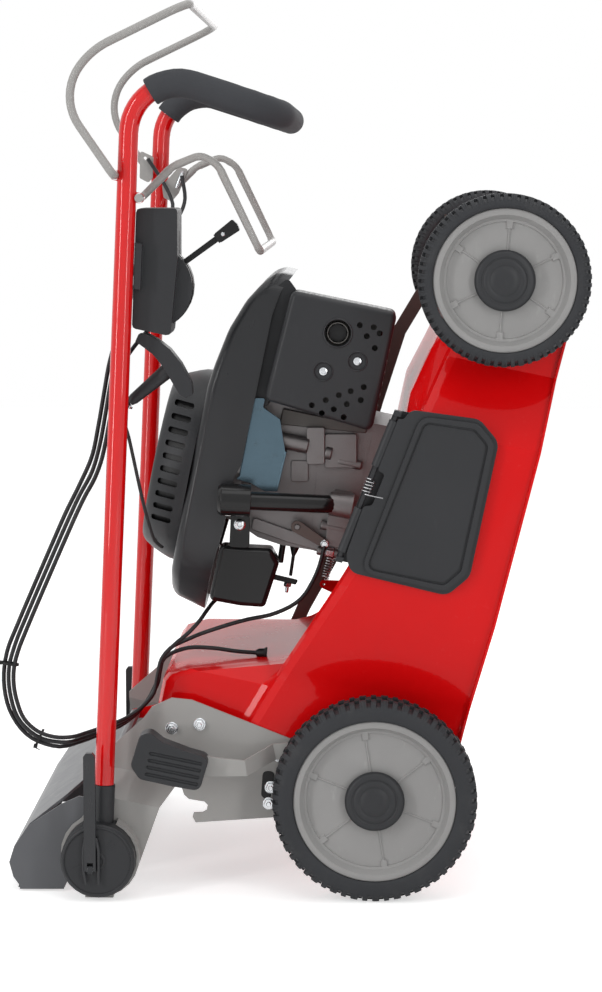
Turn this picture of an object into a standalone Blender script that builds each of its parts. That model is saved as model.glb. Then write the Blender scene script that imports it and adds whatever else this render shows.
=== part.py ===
"""Petrol lawn mower stored on end with its handle folded.

Everything is drawn in the mower's own frame: x forward, y to its left, z up, metres, with the
origin on the ground under the rear wheels. The empty "stand" tips that frame up so that the mower
rests on its rear wheels and on the feet of its handle brackets.
"""
import bpy
import bmesh
import math
from mathutils import Vector
from mathutils.geometry import tessellate_polygon

for old in list(bpy.data.objects):
    bpy.data.objects.remove(old, do_unlink=True)
for old in list(bpy.data.meshes):
    bpy.data.meshes.remove(old)

# Stance
LEAN = math.radians(11.64)

# Clearances
FIT = 0.0003
RUN = 0.0005
SIDE = 0.001

# Wheels
REAR_R = 0.115
FRONT_R = 0.095
TYRE_W = 0.046
WHEEL_FACE_Y = 0.255
WHEELBASE = 0.5968
RIM_R = {"rear": 0.0912, "front": 0.0787}
LUGS = {"rear": 26, "front": 22}
LUG_DEPTH = 0.004
CAP_R = 0.0335
AXLE_R = 0.006
RIB_W = 0.004
RIB_TOP = 0.0140
RIB_PHASE = {"rear": math.radians(10), "front": math.radians(23)}

# Deck
SHEET = 0.0025
DECK_REAR_X = -0.045
DECK_NOSE_X = 0.672
DECK_HALF = [(-0.045, 0.1915), (0.110, 0.1915), (0.220, 0.238), (0.420, 0.238), (0.500, 0.190), (0.700, 0.190)]
RIDGE_R = [(-0.045, 0.295), (0.0196, 0.2811), (0.0768, 0.2615), (0.254, 0.1967), (0.387, 0.1673),
           (0.5197, 0.1345), (0.600, 0.134), (0.700, 0.130)]
RIDGE_L = [(-0.045, 0.286), (0.0076, 0.2638), (0.0815, 0.2292), (0.1555, 0.1923), (0.254, 0.172),
           (0.387, 0.149), (0.5197, 0.130), (0.600, 0.132), (0.700, 0.130)]
DECK_TOP = [(-0.045, 0.377), (0.070, 0.377), (0.0795, 0.372), (0.0901, 0.352), (0.1154, 0.2401), (0.135, 0.190),
            (0.160, 0.168), (0.450, 0.168), (0.520, 0.150), (0.600, 0.140), (0.700, 0.132)]
SLOPE_FOOT = [(0.1154, 0.150), (0.220, 0.185), (0.420, 0.185), (0.500, 0.150), (0.700, 0.150)]
TUNNEL_HALF = 0.175
RIM = [(-0.045, 0.0384), (0.560, 0.0128), (0.600, 0.0160), (0.640, 0.0300), (0.674, 0.0550)]
LIP = 0.008
CRANK_HOLE_R = 0.040

# Height adjustment
REAR_PIVOT = (0.055, 0.126)
ARM_DROP = (-0.055, -0.011)
LINK_PIN = (-0.010, 0.044)
FRONT_PIVOT = (WHEELBASE - ARM_DROP[0], FRONT_R - ARM_DROP[1])
SHAFT_R = 0.008
ARM_Y = (0.1975, 0.2025)
FLAT_Y = (0.2035, 0.2065)
PIN_R = 0.004

# Handle
TUBE_R = 0.011
TUBE_Y = 0.230
TUBE_FOOT = (-0.0474, 0.4160)
TUBE_BEND = (0.7431, 0.5414)
CROSSBAR = (0.724, 0.372)
BEND_R = 0.055
CROSS_BEND_R = 0.060
GRIP_R = 0.0158
KNUCKLE = (-0.130, 0.405)
KNUCKLE_R = 0.042
KNUCKLE_Y = (0.2175, 0.256)
SPIGOT_R = 0.0092
SPIGOT_LEN = 0.020
BAIL_R = 0.0047
BRACKET_Y = 0.192
SEAT_Y = 0.2145

# Engine
CRANK_X = 0.300
SHAFT_DIA_R = 0.0125
BLOCK_HALF = 0.085
BLOCK_TOP = 0.337
FIN_HALF = 0.058
PLATEAU = 0.168
BLADE_LEN = 0.460
BLADE_W = 0.050
PULLEY_R = 0.045
SHROUD_TOP = 0.396

PIVOT = {}


def empty(name, parent, point):
    """A joint: an empty at a point of the mower frame, under its parent joint."""
    obj = bpy.data.objects.new(name, None)
    bpy.context.scene.collection.objects.link(obj)
    obj.empty_display_size = 0.02
    PIVOT[name] = Vector(point)
    if parent:
        obj.parent = bpy.data.objects[parent]
        obj.location = PIVOT[name] - PIVOT[parent]
    return obj


def material(name, colour, metallic=0.0, rough=0.5):
    mat = bpy.data.materials.new(name)
    mat.use_nodes = True
    shader = mat.node_tree.nodes["Principled BSDF"]
    shader.inputs["Base Color"].default_value = (*colour, 1.0)
    shader.inputs["Metallic"].default_value = metallic
    shader.inputs["Roughness"].default_value = rough
    mat.diffuse_color = (*colour, 1.0)
    return mat


RED = ((0.62, 0.012, 0.012), 0.0, 0.25)
BLACK = ((0.02, 0.02, 0.022), 0.0, 0.5)
DARK = ((0.045, 0.047, 0.05), 0.0, 0.6)
GREY = ((0.20, 0.20, 0.205), 0.0, 0.55)
LIGHT = ((0.46, 0.46, 0.45), 0.3, 0.45)
RUBBER = ((0.025, 0.025, 0.025), 0.0, 0.85)
STEEL = ((0.45, 0.45, 0.46), 1.0, 0.35)
ALLOY = ((0.52, 0.52, 0.52), 1.0, 0.5)
IRON = ((0.12, 0.12, 0.12), 1.0, 0.6)
BAFFLE = ((0.36, 0.43, 0.50), 0.2, 0.5)


def solid(name, shape, joint, look=None):
    """One closed body whose origin is its joint."""
    verts, faces = shape
    origin = PIVOT[joint]
    mesh = bpy.data.meshes.new(name)
    mesh.from_pydata([Vector(v) - origin for v in verts], [], faces)
    work = bmesh.new()
    work.from_mesh(mesh)
    bmesh.ops.remove_doubles(work, verts=work.verts, dist=1e-7)
    bmesh.ops.recalc_face_normals(work, faces=work.faces)
    work.to_mesh(mesh)
    work.free()
    obj = bpy.data.objects.new(name, mesh)
    bpy.context.scene.collection.objects.link(obj)
    obj.parent = bpy.data.objects[joint]
    if look:
        mesh.materials.append(material(name + "_material", *look))
    return obj


def boolean(target, name, shape, operation):
    tool = solid(name, shape, target.parent.name)
    tool.hide_render = True
    tool.display_type = "WIRE"
    step = target.modifiers.new(name, "BOOLEAN")
    step.solver = "EXACT"
    step.operation = operation
    step.object = tool
    return target


def join(target, label, shape):
    return boolean(target, target.name + "_add_" + label, shape, "UNION")


def cut(target, label, shape):
    return boolean(target, target.name + "_cut_" + label, shape, "DIFFERENCE")


def table(rows, x):
    """Straight-line lookup in rows of (x, value), held at both ends."""
    if x <= rows[0][0]:
        return rows[0][1]
    for (xa, va), (xb, vb) in zip(rows, rows[1:]):
        if x <= xb:
            return va + (vb - va) * (x - xa) / (xb - xa)
    return rows[-1][1]


def arc(cx, cz, r, start, end, steps):
    return [(cx + r * math.cos(math.radians(start + (end - start) * i / steps)),
             cz + r * math.sin(math.radians(start + (end - start) * i / steps))) for i in range(steps + 1)]


def circle(cx, cz, r, steps=12, phase=0.0):
    return [(cx + r * math.cos(phase + 2 * math.pi * i / steps),
             cz + r * math.sin(phase + 2 * math.pi * i / steps)) for i in range(steps)]


def hull(points):
    points = sorted(set((round(a, 7), round(b, 7)) for a, b in points))

    def half(seq):
        out = []
        for p in seq:
            while len(out) > 1 and ((out[-1][0] - out[-2][0]) * (p[1] - out[-2][1])
                                    - (out[-1][1] - out[-2][1]) * (p[0] - out[-2][0])) <= 1e-12:
                out.pop()
            out.append(p)
        return out[:-1]
    return half(points) + half(points[::-1])


def clear_bore(radius, sides):
    """The radius of a flat-sided bore in which a pin of this radius can turn."""
    return (radius + FIT) / math.cos(math.pi / sides)


def fillet(points, radius, steps=3):
    """Round every corner of a closed outline."""
    out = []
    count = len(points)
    for i in range(count):
        p = Vector(points[i])
        a = Vector(points[i - 1]) - p
        b = Vector(points[(i + 1) % count]) - p
        turn = math.pi - a.angle(b)
        reach = min(radius * math.tan(turn / 2), 0.45 * a.length, 0.45 * b.length)
        if turn < 0.05:
            out.append((p.x, p.y))
            continue
        p0, p1 = p + a.normalized() * reach, p + b.normalized() * reach
        for k in range(steps + 1):
            t = k / steps
            q = (1 - t) ** 2 * p0 + 2 * t * (1 - t) * p + t * t * p1
            out.append((q.x, q.y))
    return out


def bend(points, radii, steps=5):
    """Round the inner corners of an open path in space with true arcs."""
    out = [Vector(points[0])]
    for p, r, before, after in zip(points[1:-1], radii, points, points[2:]):
        p = Vector(p)
        a = (Vector(before) - p).normalized()
        b = (Vector(after) - p).normalized()
        turn = math.pi - a.angle(b)
        if r <= 0 or turn < 0.03:
            out.append(p)
            continue
        reach = r * math.tan(turn / 2)
        centre = p + (a + b).normalized() * (r / math.cos(turn / 2))
        start = p + a * reach - centre
        side = (p + b * reach - centre)
        axis_b = (side - start * math.cos(turn)) / math.sin(turn)
        out += [centre + start * math.cos(turn * k / steps) + axis_b * math.sin(turn * k / steps)
                for k in range(steps + 1)]
    out.append(Vector(points[-1]))
    return out


PLANES = {"y": lambda p, h: (p[0], h, p[1]), "z": lambda p, h: (p[0], p[1], h), "x": lambda p, h: (h, p[0], p[1])}


def plate(outline, low, high, holes=(), axis="y"):
    """An outline with holes, drawn square to an axis and given its thickness along it."""
    loops = [list(outline)] + [list(h) for h in holes]
    flat = [p for loop in loops for p in loop]
    tris = tessellate_polygon([[Vector((p[0], p[1], 0)) for p in loop] for loop in loops])
    count = len(flat)
    place = PLANES[axis]
    verts = [place(p, low) for p in flat] + [place(p, high) for p in flat]
    faces = [tuple(t) for t in tris] + [tuple(i + count for i in reversed(t)) for t in tris]
    base = 0
    for loop in loops:
        n = len(loop)
        faces += [(base + i, base + (i + 1) % n, base + (i + 1) % n + count, base + i + count) for i in range(n)]
        base += n
    return verts, faces


def loft(rings, closed=False):
    """Rings of equally many points; ends are capped unless the rings close on themselves."""
    n = len(rings[0])
    verts = [p for ring in rings for p in ring]
    faces = []
    spans = len(rings) if closed else len(rings) - 1
    for j in range(spans):
        a, b = j * n, ((j + 1) % len(rings)) * n
        faces += [(a + i, a + (i + 1) % n, b + (i + 1) % n, b + i) for i in range(n)]
    if not closed:
        faces += [tuple(range(n))[::-1], tuple(range(len(verts) - n, len(verts)))]
    return verts, faces


AXES = {"y": lambda c, r, a, h: (c[0] + r * math.cos(a), h, c[1] + r * math.sin(a)),
        "z": lambda c, r, a, h: (c[0] + r * math.cos(a), c[1] + r * math.sin(a), h)}


def revolve(profile, centre, steps, axis="y", phase=0.0):
    """A closed profile of (radius, height) turned about an axis through a centre."""
    rings = []
    for r, h in profile:
        rings.append([AXES[axis](centre, r, phase + 2 * math.pi * i / steps, h) for i in range(steps if r else 1)])
    verts, starts = [], []
    for ring in rings:
        starts.append(len(verts))
        verts += ring
    faces = []
    for j in range(len(rings)):
        a, b = rings[j], rings[(j + 1) % len(rings)]
        sa, sb = starts[j], starts[(j + 1) % len(rings)]
        for i in range(steps):
            k = (i + 1) % steps
            if len(a) > 1 and len(b) > 1:
                faces.append((sa + i, sa + k, sb + k, sb + i))
            elif len(a) > 1:
                faces.append((sa + i, sa + k, sb))
            elif len(b) > 1:
                faces.append((sa, sb + k, sb + i))
    return verts, faces


def frames(path, up=(0, 0, 1)):
    """A pair of cross directions at each point of a path, carried along without twist."""
    path = [Vector(p) for p in path]
    tangents = []
    for i in range(len(path)):
        a = path[i] - path[i - 1] if i else path[1] - path[0]
        b = path[i + 1] - path[i] if i + 1 < len(path) else a
        tangents.append((a.normalized() + b.normalized()).normalized())
    u = Vector(up) - tangents[0] * tangents[0].dot(Vector(up))
    if u.length < 1e-3:
        u = Vector((1, 0, 0)) - tangents[0] * tangents[0].x
    u.normalize()
    out = []
    for i, t in enumerate(tangents):
        if i:
            u = tangents[i - 1].rotation_difference(t) @ u
            u = (u - t * t.dot(u)).normalized()
        out.append((path[i], u, t.cross(u), t))
    return out


def ring_on(frame, radius, sides, stretch=1.0):
    p, u, v, _ = frame
    return [p + u * (radius * stretch * math.cos(2 * math.pi * (i + 0.5) / sides))
            + v * (radius * math.sin(2 * math.pi * (i + 0.5) / sides)) for i in range(sides)]


def rod(path, radius, sides=8, up=(0, 0, 1)):
    """A round rod along a path; radius is one number or one per point."""
    radii = radius if isinstance(radius, (list, tuple)) else [radius] * len(path)
    return loft([ring_on(f, r, sides) for f, r in zip(frames(path, up), radii)])


def sleeve(path, inner, outer, sides=12, up=(0, 0, 1)):
    """A hollow rod, open at both ends."""
    frs = frames(path, up)
    outside = [ring_on(f, outer, sides) for f in frs]
    inside = [ring_on(f, inner, sides) for f in frs]
    return loft(outside + inside[::-1], closed=True)


def smooth_path(points, count):
    """Evenly spaced points on a smooth curve through the given ones."""
    pts = [Vector(p) for p in points]
    ext = [pts[0] * 2 - pts[1]] + pts + [pts[-1] * 2 - pts[-2]]
    fine = []
    for i in range(1, len(ext) - 2):
        p0, p1, p2, p3 = ext[i - 1:i + 3]
        for k in range(24):
            t = k / 24
            fine.append(0.5 * (2 * p1 + (p2 - p0) * t + (2 * p0 - 5 * p1 + 4 * p2 - p3) * t * t
                               + (3 * p1 - p0 - 3 * p2 + p3) * t ** 3))
    fine.append(pts[-1])
    lengths = [0.0]
    for a, b in zip(fine, fine[1:]):
        lengths.append(lengths[-1] + (b - a).length)
    out, j = [], 0
    for i in range(count):
        want = lengths[-1] * i / (count - 1)
        while j < len(lengths) - 2 and lengths[j + 1] < want:
            j += 1
        span = lengths[j + 1] - lengths[j]
        out.append(fine[j].lerp(fine[j + 1], (want - lengths[j]) / span if span else 0))
    return out, lengths[-1]


def curve_solid(name, points, radius, joint, look, resolution=2):
    """A cord or a wound wire: one curve with a round section and closed ends."""
    origin = PIVOT[joint]
    data = bpy.data.curves.new(name, "CURVE")
    data.dimensions = "3D"
    data.bevel_depth = radius
    data.bevel_resolution = resolution
    data.use_fill_caps = True
    data.resolution_u = 1
    data.render_resolution_u = 0
    spline = data.splines.new("POLY")
    spline.points.add(len(points) - 1)
    for node, p in zip(spline.points, points):
        node.co = (*(Vector(p) - origin), 1.0)
    data.materials.append(material(name + "_material", *look))
    obj = bpy.data.objects.new(name, data)
    bpy.context.scene.collection.objects.link(obj)
    obj.parent = bpy.data.objects[joint]
    return obj


def mirrored(shape, side):
    """Shapes of a pair are drawn for the left side (+y)."""
    verts, faces = shape
    return [(v[0], v[1] * side, v[2]) for v in verts], faces


def at(p, y):
    return (p[0], y, p[1])


SIDES = {"right": -1, "left": 1}

# Joints
stand = empty("stand", None, (0, 0, 0))
stand.rotation_euler = (0, LEAN - math.pi / 2, 0)
rear_hub = (REAR_PIVOT[0] + ARM_DROP[0], REAR_PIVOT[1] + ARM_DROP[1])
front_hub = (FRONT_PIVOT[0] + ARM_DROP[0], FRONT_PIVOT[1] + ARM_DROP[1])
rear_pin = (REAR_PIVOT[0] + LINK_PIN[0], REAR_PIVOT[1] + LINK_PIN[1])
front_pin = (FRONT_PIVOT[0] + LINK_PIN[0], FRONT_PIVOT[1] + LINK_PIN[1])
empty("rear_crank", "stand", at(REAR_PIVOT, 0))
empty("front_crank", "stand", at(FRONT_PIVOT, 0))
empty("link_joint", "rear_crank", at(rear_pin, 0))
WHEEL_Y = WHEEL_FACE_Y - TYRE_W / 2
for end, hub, crank in (("rear", rear_hub, "rear_crank"), ("front", front_hub, "front_crank")):
    for side, s in SIDES.items():
        empty(f"{end}_{side}_wheel_joint", crank, at(hub, s * WHEEL_Y))
empty("handle_joint", "stand", at(KNUCKLE, 0))


# Wheels
def tyre(end, side):
    radius, rim = (REAR_R, RIM_R["rear"]) if end == "rear" else (FRONT_R, RIM_R["front"])
    hub = rear_hub if end == "rear" else front_hub
    s = SIDES[side]
    bore = rim + FIT
    half = TYRE_W / 2
    steps = 2 * LUGS[end]
    down = math.pi + LEAN
    rings = []
    for i in range(steps):
        a = down + 2 * math.pi * i / steps
        crown = radius - (LUG_DEPTH if i % 2 else 0.0)
        shoulder = radius - 0.0105
        profile = [(bore, -half + 0.0025), (shoulder, -half), (crown, -half + 0.008), (crown, half - 0.008),
                   (shoulder, half), (bore, half - 0.0025)]
        rings.append([(hub[0] + r * math.cos(a), s * (WHEEL_Y + t), hub[1] + r * math.sin(a)) for r, t in profile])
    solid(f"{end}_{side}_tyre", loft(rings, closed=True), f"{end}_{side}_wheel_joint", RUBBER)


def rim(end, side):
    """The six ribs keep one width: each ring turns its stations to suit its radius."""
    hub = rear_hub if end == "rear" else front_hub
    s = SIDES[side]
    r = RIM_R[end]
    bore = AXLE_R + FIT
    half = TYRE_W / 2
    panel, rib = 0.0085, RIB_TOP
    profile = [(bore, -half + 0.0035, 0), (0.016, -half + 0.0035, 0), (0.018, -0.004, 0), (r - 0.013, -0.004, 0),
               (r - 0.012, -half + 0.0035, 0), (r, -half + 0.0035, 0), (r, half - 0.0032, 0),
               (r - 0.0105, half - 0.0032, 0), (r - 0.0125, panel, rib), (CAP_R + SIDE, panel, rib),
               (bore, 0.0120, 0)]
    rings = []
    for k in range(6):
        for j in range(6):
            ring = []
            for radius, t, raised in profile:
                low = math.asin(min(0.9, (RIB_W / 2 + 0.0008) / radius))
                high = math.asin(min(0.9, RIB_W / 2 / radius))
                if radius < 0.02:
                    off = math.radians((-12, -6, 6, 12, 24, 36)[j])
                else:
                    off = (-low, -high, high, low, math.radians(20), math.radians(40))[j]
                height = raised if raised and j in (1, 2) else t
                a = math.pi / 2 - RIB_PHASE[end] + k * math.pi / 3 + off
                ring.append((hub[0] + radius * math.cos(a), s * (WHEEL_Y + height), hub[1] + radius * math.sin(a)))
            rings.append(ring)
    solid(f"{end}_{side}_rim", loft(rings, closed=True), f"{end}_{side}_wheel_joint", LIGHT)


def hub_cap(end, side):
    hub = rear_hub if end == "rear" else front_hub
    s = SIDES[side]
    face = RIB_TOP + FIT
    profile = [(0, 0.0195), (0.0085, 0.0195), (0.0085, face), (CAP_R, face), (CAP_R, 0.0175), (0.0305, 0.0215),
               (0.012, 0.0225), (0, 0.0225)]
    shape = revolve([(r, s * (WHEEL_Y + t)) for r, t in profile], hub, 16)
    solid(f"{end}_{side}_cap", shape, f"{end}_{side}_wheel_joint", BLACK)


for end in ("rear", "front"):
    for side in ("right", "left"):
        tyre(end, side)
        rim(end, side)
        hub_cap(end, side)

# Cross shafts with their crank arms, wheel stubs and link pins
AXLE_END_Y = WHEEL_Y + 0.016


def cross_shaft(name, joint, pivot, hub, pin, lever_boss):
    shaft = solid(name, rod([at(pivot, -ARM_Y[1] + 0.0013), at(pivot, ARM_Y[1] - 0.0013)], SHAFT_R, 12), joint, STEEL)
    for side, s in SIDES.items():
        rounds = circle(*pivot, 0.014, 16) + circle(*hub, 0.012, 16)
        if side == "left":
            rounds += circle(*pin, 0.009, 12)
        join(shaft, f"arm_{side}", mirrored(plate(hull(rounds), *ARM_Y), s))
        join(shaft, f"stub_{side}", mirrored(rod([at(hub, ARM_Y[0] + 0.0015), at(hub, AXLE_END_Y)], AXLE_R, 12), s))
    join(shaft, "pin", rod([at(pin, ARM_Y[0] + 0.0015), at(pin, FLAT_Y[1] + 0.0012)], PIN_R, 10))
    if lever_boss:
        join(shaft, "boss", rod([at(pivot, -ARM_Y[0] - 0.0015), at(pivot, -FLAT_Y[1] - 0.0004)], 0.0095, 10))


cross_shaft("rear_axle", "rear_crank", REAR_PIVOT, rear_hub, rear_pin, True)
cross_shaft("front_axle", "front_crank", FRONT_PIVOT, front_hub, front_pin, False)


# Height link: a bowed strap between the two pins on the left
def strap(points, width, low, high, holes):
    pts = [Vector(p) for p in points]
    left, right = [], []
    for i, p in enumerate(pts):
        d = (pts[min(i + 1, len(pts) - 1)] - pts[max(i - 1, 0)]).normalized()
        n = Vector((-d.y, d.x)) * width / 2
        left.append(tuple(p + n))
        right.append(tuple(p - n))
    return plate(right + left[::-1], low, high, holes)


LINK_LINE = [(rear_pin[0] - 0.007, rear_pin[1] - 0.009), (rear_pin[0] + 0.003, rear_pin[1] + 0.004), (0.0750, 0.2310),
             (0.0960, 0.2390), (0.1259, 0.2325), (0.1894, 0.2125), (0.4021, 0.1960), (0.4947, 0.1860),
             (0.5437, 0.1690), (front_pin[0] - 0.0600, front_pin[1] - 0.0060), (front_pin[0] - 0.004, front_pin[1]),
             (front_pin[0] + 0.009, front_pin[1] + 0.002)]
SPRING_EYE = (0.2034, 0.2112)
solid("height_link", strap(LINK_LINE, 0.017, *FLAT_Y,
                           [circle(*rear_pin, PIN_R + FIT, 10), circle(*front_pin, PIN_R + FIT, 10),
                            circle(*SPRING_EYE, 0.0014, 8)]), "link_joint", IRON)

# Height lever: a flat bar on the shaft's boss, bent outward past the wheel, with a ribbed grip
LEVER = [(REAR_PIVOT[0], -0.205, REAR_PIVOT[1]), (0.0225, -0.205, 0.236), (0.0040, -0.2340, 0.2640),
         (-0.0010, -0.2380, 0.3000), (-0.0020, -0.2380, 0.3700)]
LEVER_T = FLAT_Y[1] - FLAT_Y[0]


def bar(path, widths, thickness):
    """A flat bar bent about the x direction of each section."""
    rings = []
    for i, p in enumerate(path):
        p = Vector(p)
        a = Vector(path[max(i - 1, 0)])
        b = Vector(path[min(i + 1, len(path) - 1)])
        before = (p - a).normalized() if i else (b - p).normalized()
        after = (b - p).normalized() if i + 1 < len(path) else before
        t = (before + after).normalized()
        across = Vector((t.z, 0, -t.x)).normalized()
        thick = t.cross(across).normalized() * (thickness / 2 / max(0.5, before.dot(t)))
        across = across * widths[i] / 2
        rings.append([p + across + thick, p + across - thick, p - across - thick, p - across + thick])
    return loft(rings)


lever = solid("height_lever", bar(LEVER, [0.022, 0.018, 0.018, 0.022, 0.022], LEVER_T), "rear_crank", LIGHT)
join(lever, "eye", plate(circle(*REAR_PIVOT, 0.0155, 18), -FLAT_Y[1] - 0.0001, -FLAT_Y[0] + 0.0001))
cut(lever, "bore", rod([at(REAR_PIVOT, -0.22), at(REAR_PIVOT, -0.19)], 0.0095 + FIT, 10))

PAD = [(0.0200, 0.3868), (0.0268, 0.3768), (0.0185, 0.3600), (0.0135, 0.3300), (0.0117, 0.3054), (-0.0275, 0.3089),
       (-0.0285, 0.3400), (-0.0280, 0.3773), (-0.0156, 0.3900)]
PAD_Y = (0.2290, 0.2560)
pad = solid("height_lever_grip", plate(fillet(PAD, 0.006, 2), -PAD_Y[1], -PAD_Y[0]), "rear_crank", DARK)
grip_slot = bar([(LEVER[3][0], LEVER[3][1], 0.290), LEVER[3], LEVER[4], (-0.0020, -0.2380, 0.3710)],
                [0.022 + 2 * RUN] * 4, LEVER_T + 2 * RUN)
cut(pad, "slot", grip_slot)
for k in range(4):
    x = -0.0225 + 0.0080 * k
    cut(pad, f"groove{k}", plate([(x, 0.3150), (x + 0.0035, 0.3150), (x + 0.0035, 0.3700), (x, 0.3700)],
                                 -PAD_Y[1] - 0.004, -PAD_Y[1] + 0.003))


# Handle: a bent tube, its foam grip, the two knuckles
def handle_path():
    foot, corner, cross = TUBE_FOOT, TUBE_BEND, CROSSBAR
    points = [at(foot, -TUBE_Y), at(corner, -TUBE_Y), at(cross, -TUBE_Y), at(cross, TUBE_Y), at(corner, TUBE_Y),
              at(foot, TUBE_Y)]
    return bend(points, [BEND_R, CROSS_BEND_R, CROSS_BEND_R, BEND_R], 4)


TUBE_DIR = (Vector(at(TUBE_BEND, 0)) - Vector(at(TUBE_FOOT, 0))).normalized()
handle_line = handle_path()
tube = solid("handle_tube", rod(handle_line, TUBE_R, 12), "handle_joint", RED)
for side, s in SIDES.items():
    foot = Vector(at(TUBE_FOOT, s * TUBE_Y))
    cut(tube, f"socket_{side}", rod([foot - TUBE_DIR * 0.01, foot + TUBE_DIR * (SPIGOT_LEN + SIDE)],
                                    SPIGOT_R + FIT, 12))
# Ears on the tube carry the two bails
EAR_Y = (0.2270, 0.2330)
UPPER_PIVOT = (0.6225, 0.5357)
LOWER_PIVOT = (0.6035, 0.5047)


def tube_z(x):
    """Height of the handle tube's centre line above a point along the mower."""
    return TUBE_FOOT[1] + (x - TUBE_FOOT[0]) * TUBE_DIR.z / TUBE_DIR.x


for side, s in SIDES.items():
    for label, piv in (("upper", UPPER_PIVOT), ("lower", LOWER_PIVOT)):
        mid = tube_z(piv[0])
        ear = hull(circle(*piv, 0.0085, 10, 0.2) + circle(piv[0], mid, 0.0085, 8, 0.1))
        join(tube, f"ear_{label}_{side}", mirrored(plate(ear, *EAR_Y), s))
        eye = rod([at(piv, 0.2185), at(piv, 0.245)], clear_bore(BAIL_R, 8), 8)
        cut(tube, f"eye_{label}_{side}", mirrored(eye, s))

grip_frames = frames(handle_line)[3:-3]
foam = [ring_on(f, GRIP_R, 12) for f in grip_frames] + [ring_on(f, TUBE_R + FIT, 12) for f in grip_frames[::-1]]
solid("foam_grip", loft(foam, closed=True), "handle_joint", RUBBER)

# Knuckle: a disc on the bracket's pin with a sleeve and a spigot for the tube, and an eye for the lock lever
LOCK_PIN = (-0.1392, 0.4109)
LOCK_Y = 0.2605
ROW_X = Vector((math.sin(LEAN), 0, -math.cos(LEAN)))
ROW_Z = Vector((math.cos(LEAN), 0, math.sin(LEAN)))
for side, s in SIDES.items():
    near, far = KNUCKLE_Y
    disc = revolve([(PIN_R + FIT, s * near), (KNUCKLE_R - 0.002, s * near), (KNUCKLE_R, s * (near + 0.002)),
                    (KNUCKLE_R, s * (far - 0.002)), (KNUCKLE_R - 0.002, s * far), (PIN_R + FIT, s * far)],
                   KNUCKLE, 28)
    knuckle = solid(f"knuckle_{side}", disc, "handle_joint", DARK)
    foot = Vector(at(TUBE_FOOT, s * TUBE_Y))
    join(knuckle, "sleeve", rod([foot - TUBE_DIR * 0.064, foot - TUBE_DIR * RUN], TUBE_R + 0.0015, 12))
    join(knuckle, "spigot", rod([foot - TUBE_DIR * 0.030, foot + TUBE_DIR * SPIGOT_LEN], SPIGOT_R, 12))
    eye = Vector(at(LOCK_PIN, s * LOCK_Y))
    corners = [eye + ROW_X * a + ROW_Z * b for a, b in ((-0.003, -0.0042), (0.003, -0.0042), (0.003, 0.0042),
                                                      (-0.003, 0.0042))]
    join(knuckle, "eye", mirrored(plate([(c.x, c.z) for c in corners], far - 0.0015, LOCK_Y + 0.0040), s))
    cut(knuckle, "eye_bore", rod([eye - ROW_X * 0.01, eye + ROW_X * 0.01], 0.0018, 8))
    lock_joint = empty(f"lock_{side}_joint", "handle_joint", eye)
    half, heel = 0.0065, 0.0016
    fork = []
    for a, b in ((-half, -heel), (-0.0034, -heel), (-0.0034, 0.0080), (0.0034, 0.0080), (0.0034, -heel),
                 (half, -heel), (half, 0.1290), (0.0035, 0.1330), (-0.0035, 0.1330), (-half, 0.1290)):
        c = eye + ROW_X * a + ROW_Z * b
        fork.append((c.x, c.z))
    lock = solid(f"lock_lever_{side}", mirrored(plate(fork, far + RUN, LOCK_Y + 0.0036), s), f"lock_{side}_joint",
                 BLACK)
    join(lock, "pin", rod([eye - ROW_X * 0.0055, eye + ROW_X * 0.0055], 0.0015, 8))


# Handle brackets: a plate on the deck wall, joggled out to a seat for the knuckle, with a ring and a foot
def sheet(polygons, lift, thickness):
    """Flat outlines that share edges, bent as one sheet: lift gives the inner face's y at each point."""
    index, verts, faces, edges = {}, [], [], {}
    for poly in polygons:
        ids = []
        for p in poly:
            key = (round(p[0], 6), round(p[1], 6))
            if key not in index:
                index[key] = len(index)
                verts.append((key[0], lift(*key), key[1]))
            ids.append(index[key])
        for t in tessellate_polygon([[Vector((p[0], p[1], 0)) for p in poly]]):
            faces.append(tuple(ids[i] for i in t))
        for a, b in zip(ids, ids[1:] + ids[:1]):
            edges[frozenset((a, b))] = edges.get(frozenset((a, b)), 0) + 1
    count = len(verts)
    verts += [(x, y + thickness, z) for x, y, z in verts]
    faces += [tuple(i + count for i in reversed(f)) for f in faces]
    faces += [(a, b, b + count, a + count) for (a, b), n in ((tuple(e), n) for e, n in edges.items()) if n == 1]
    return verts, faces


JOGGLE_X = (-0.065, -0.035)
SEAT_R = 0.0457
RING_R = (KNUCKLE_R + RUN, 0.0455)
foot_drop = REAR_R + KNUCKLE[0] * math.cos(LEAN) + (KNUCKLE[1] - REAR_R) * math.sin(LEAN)


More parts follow.
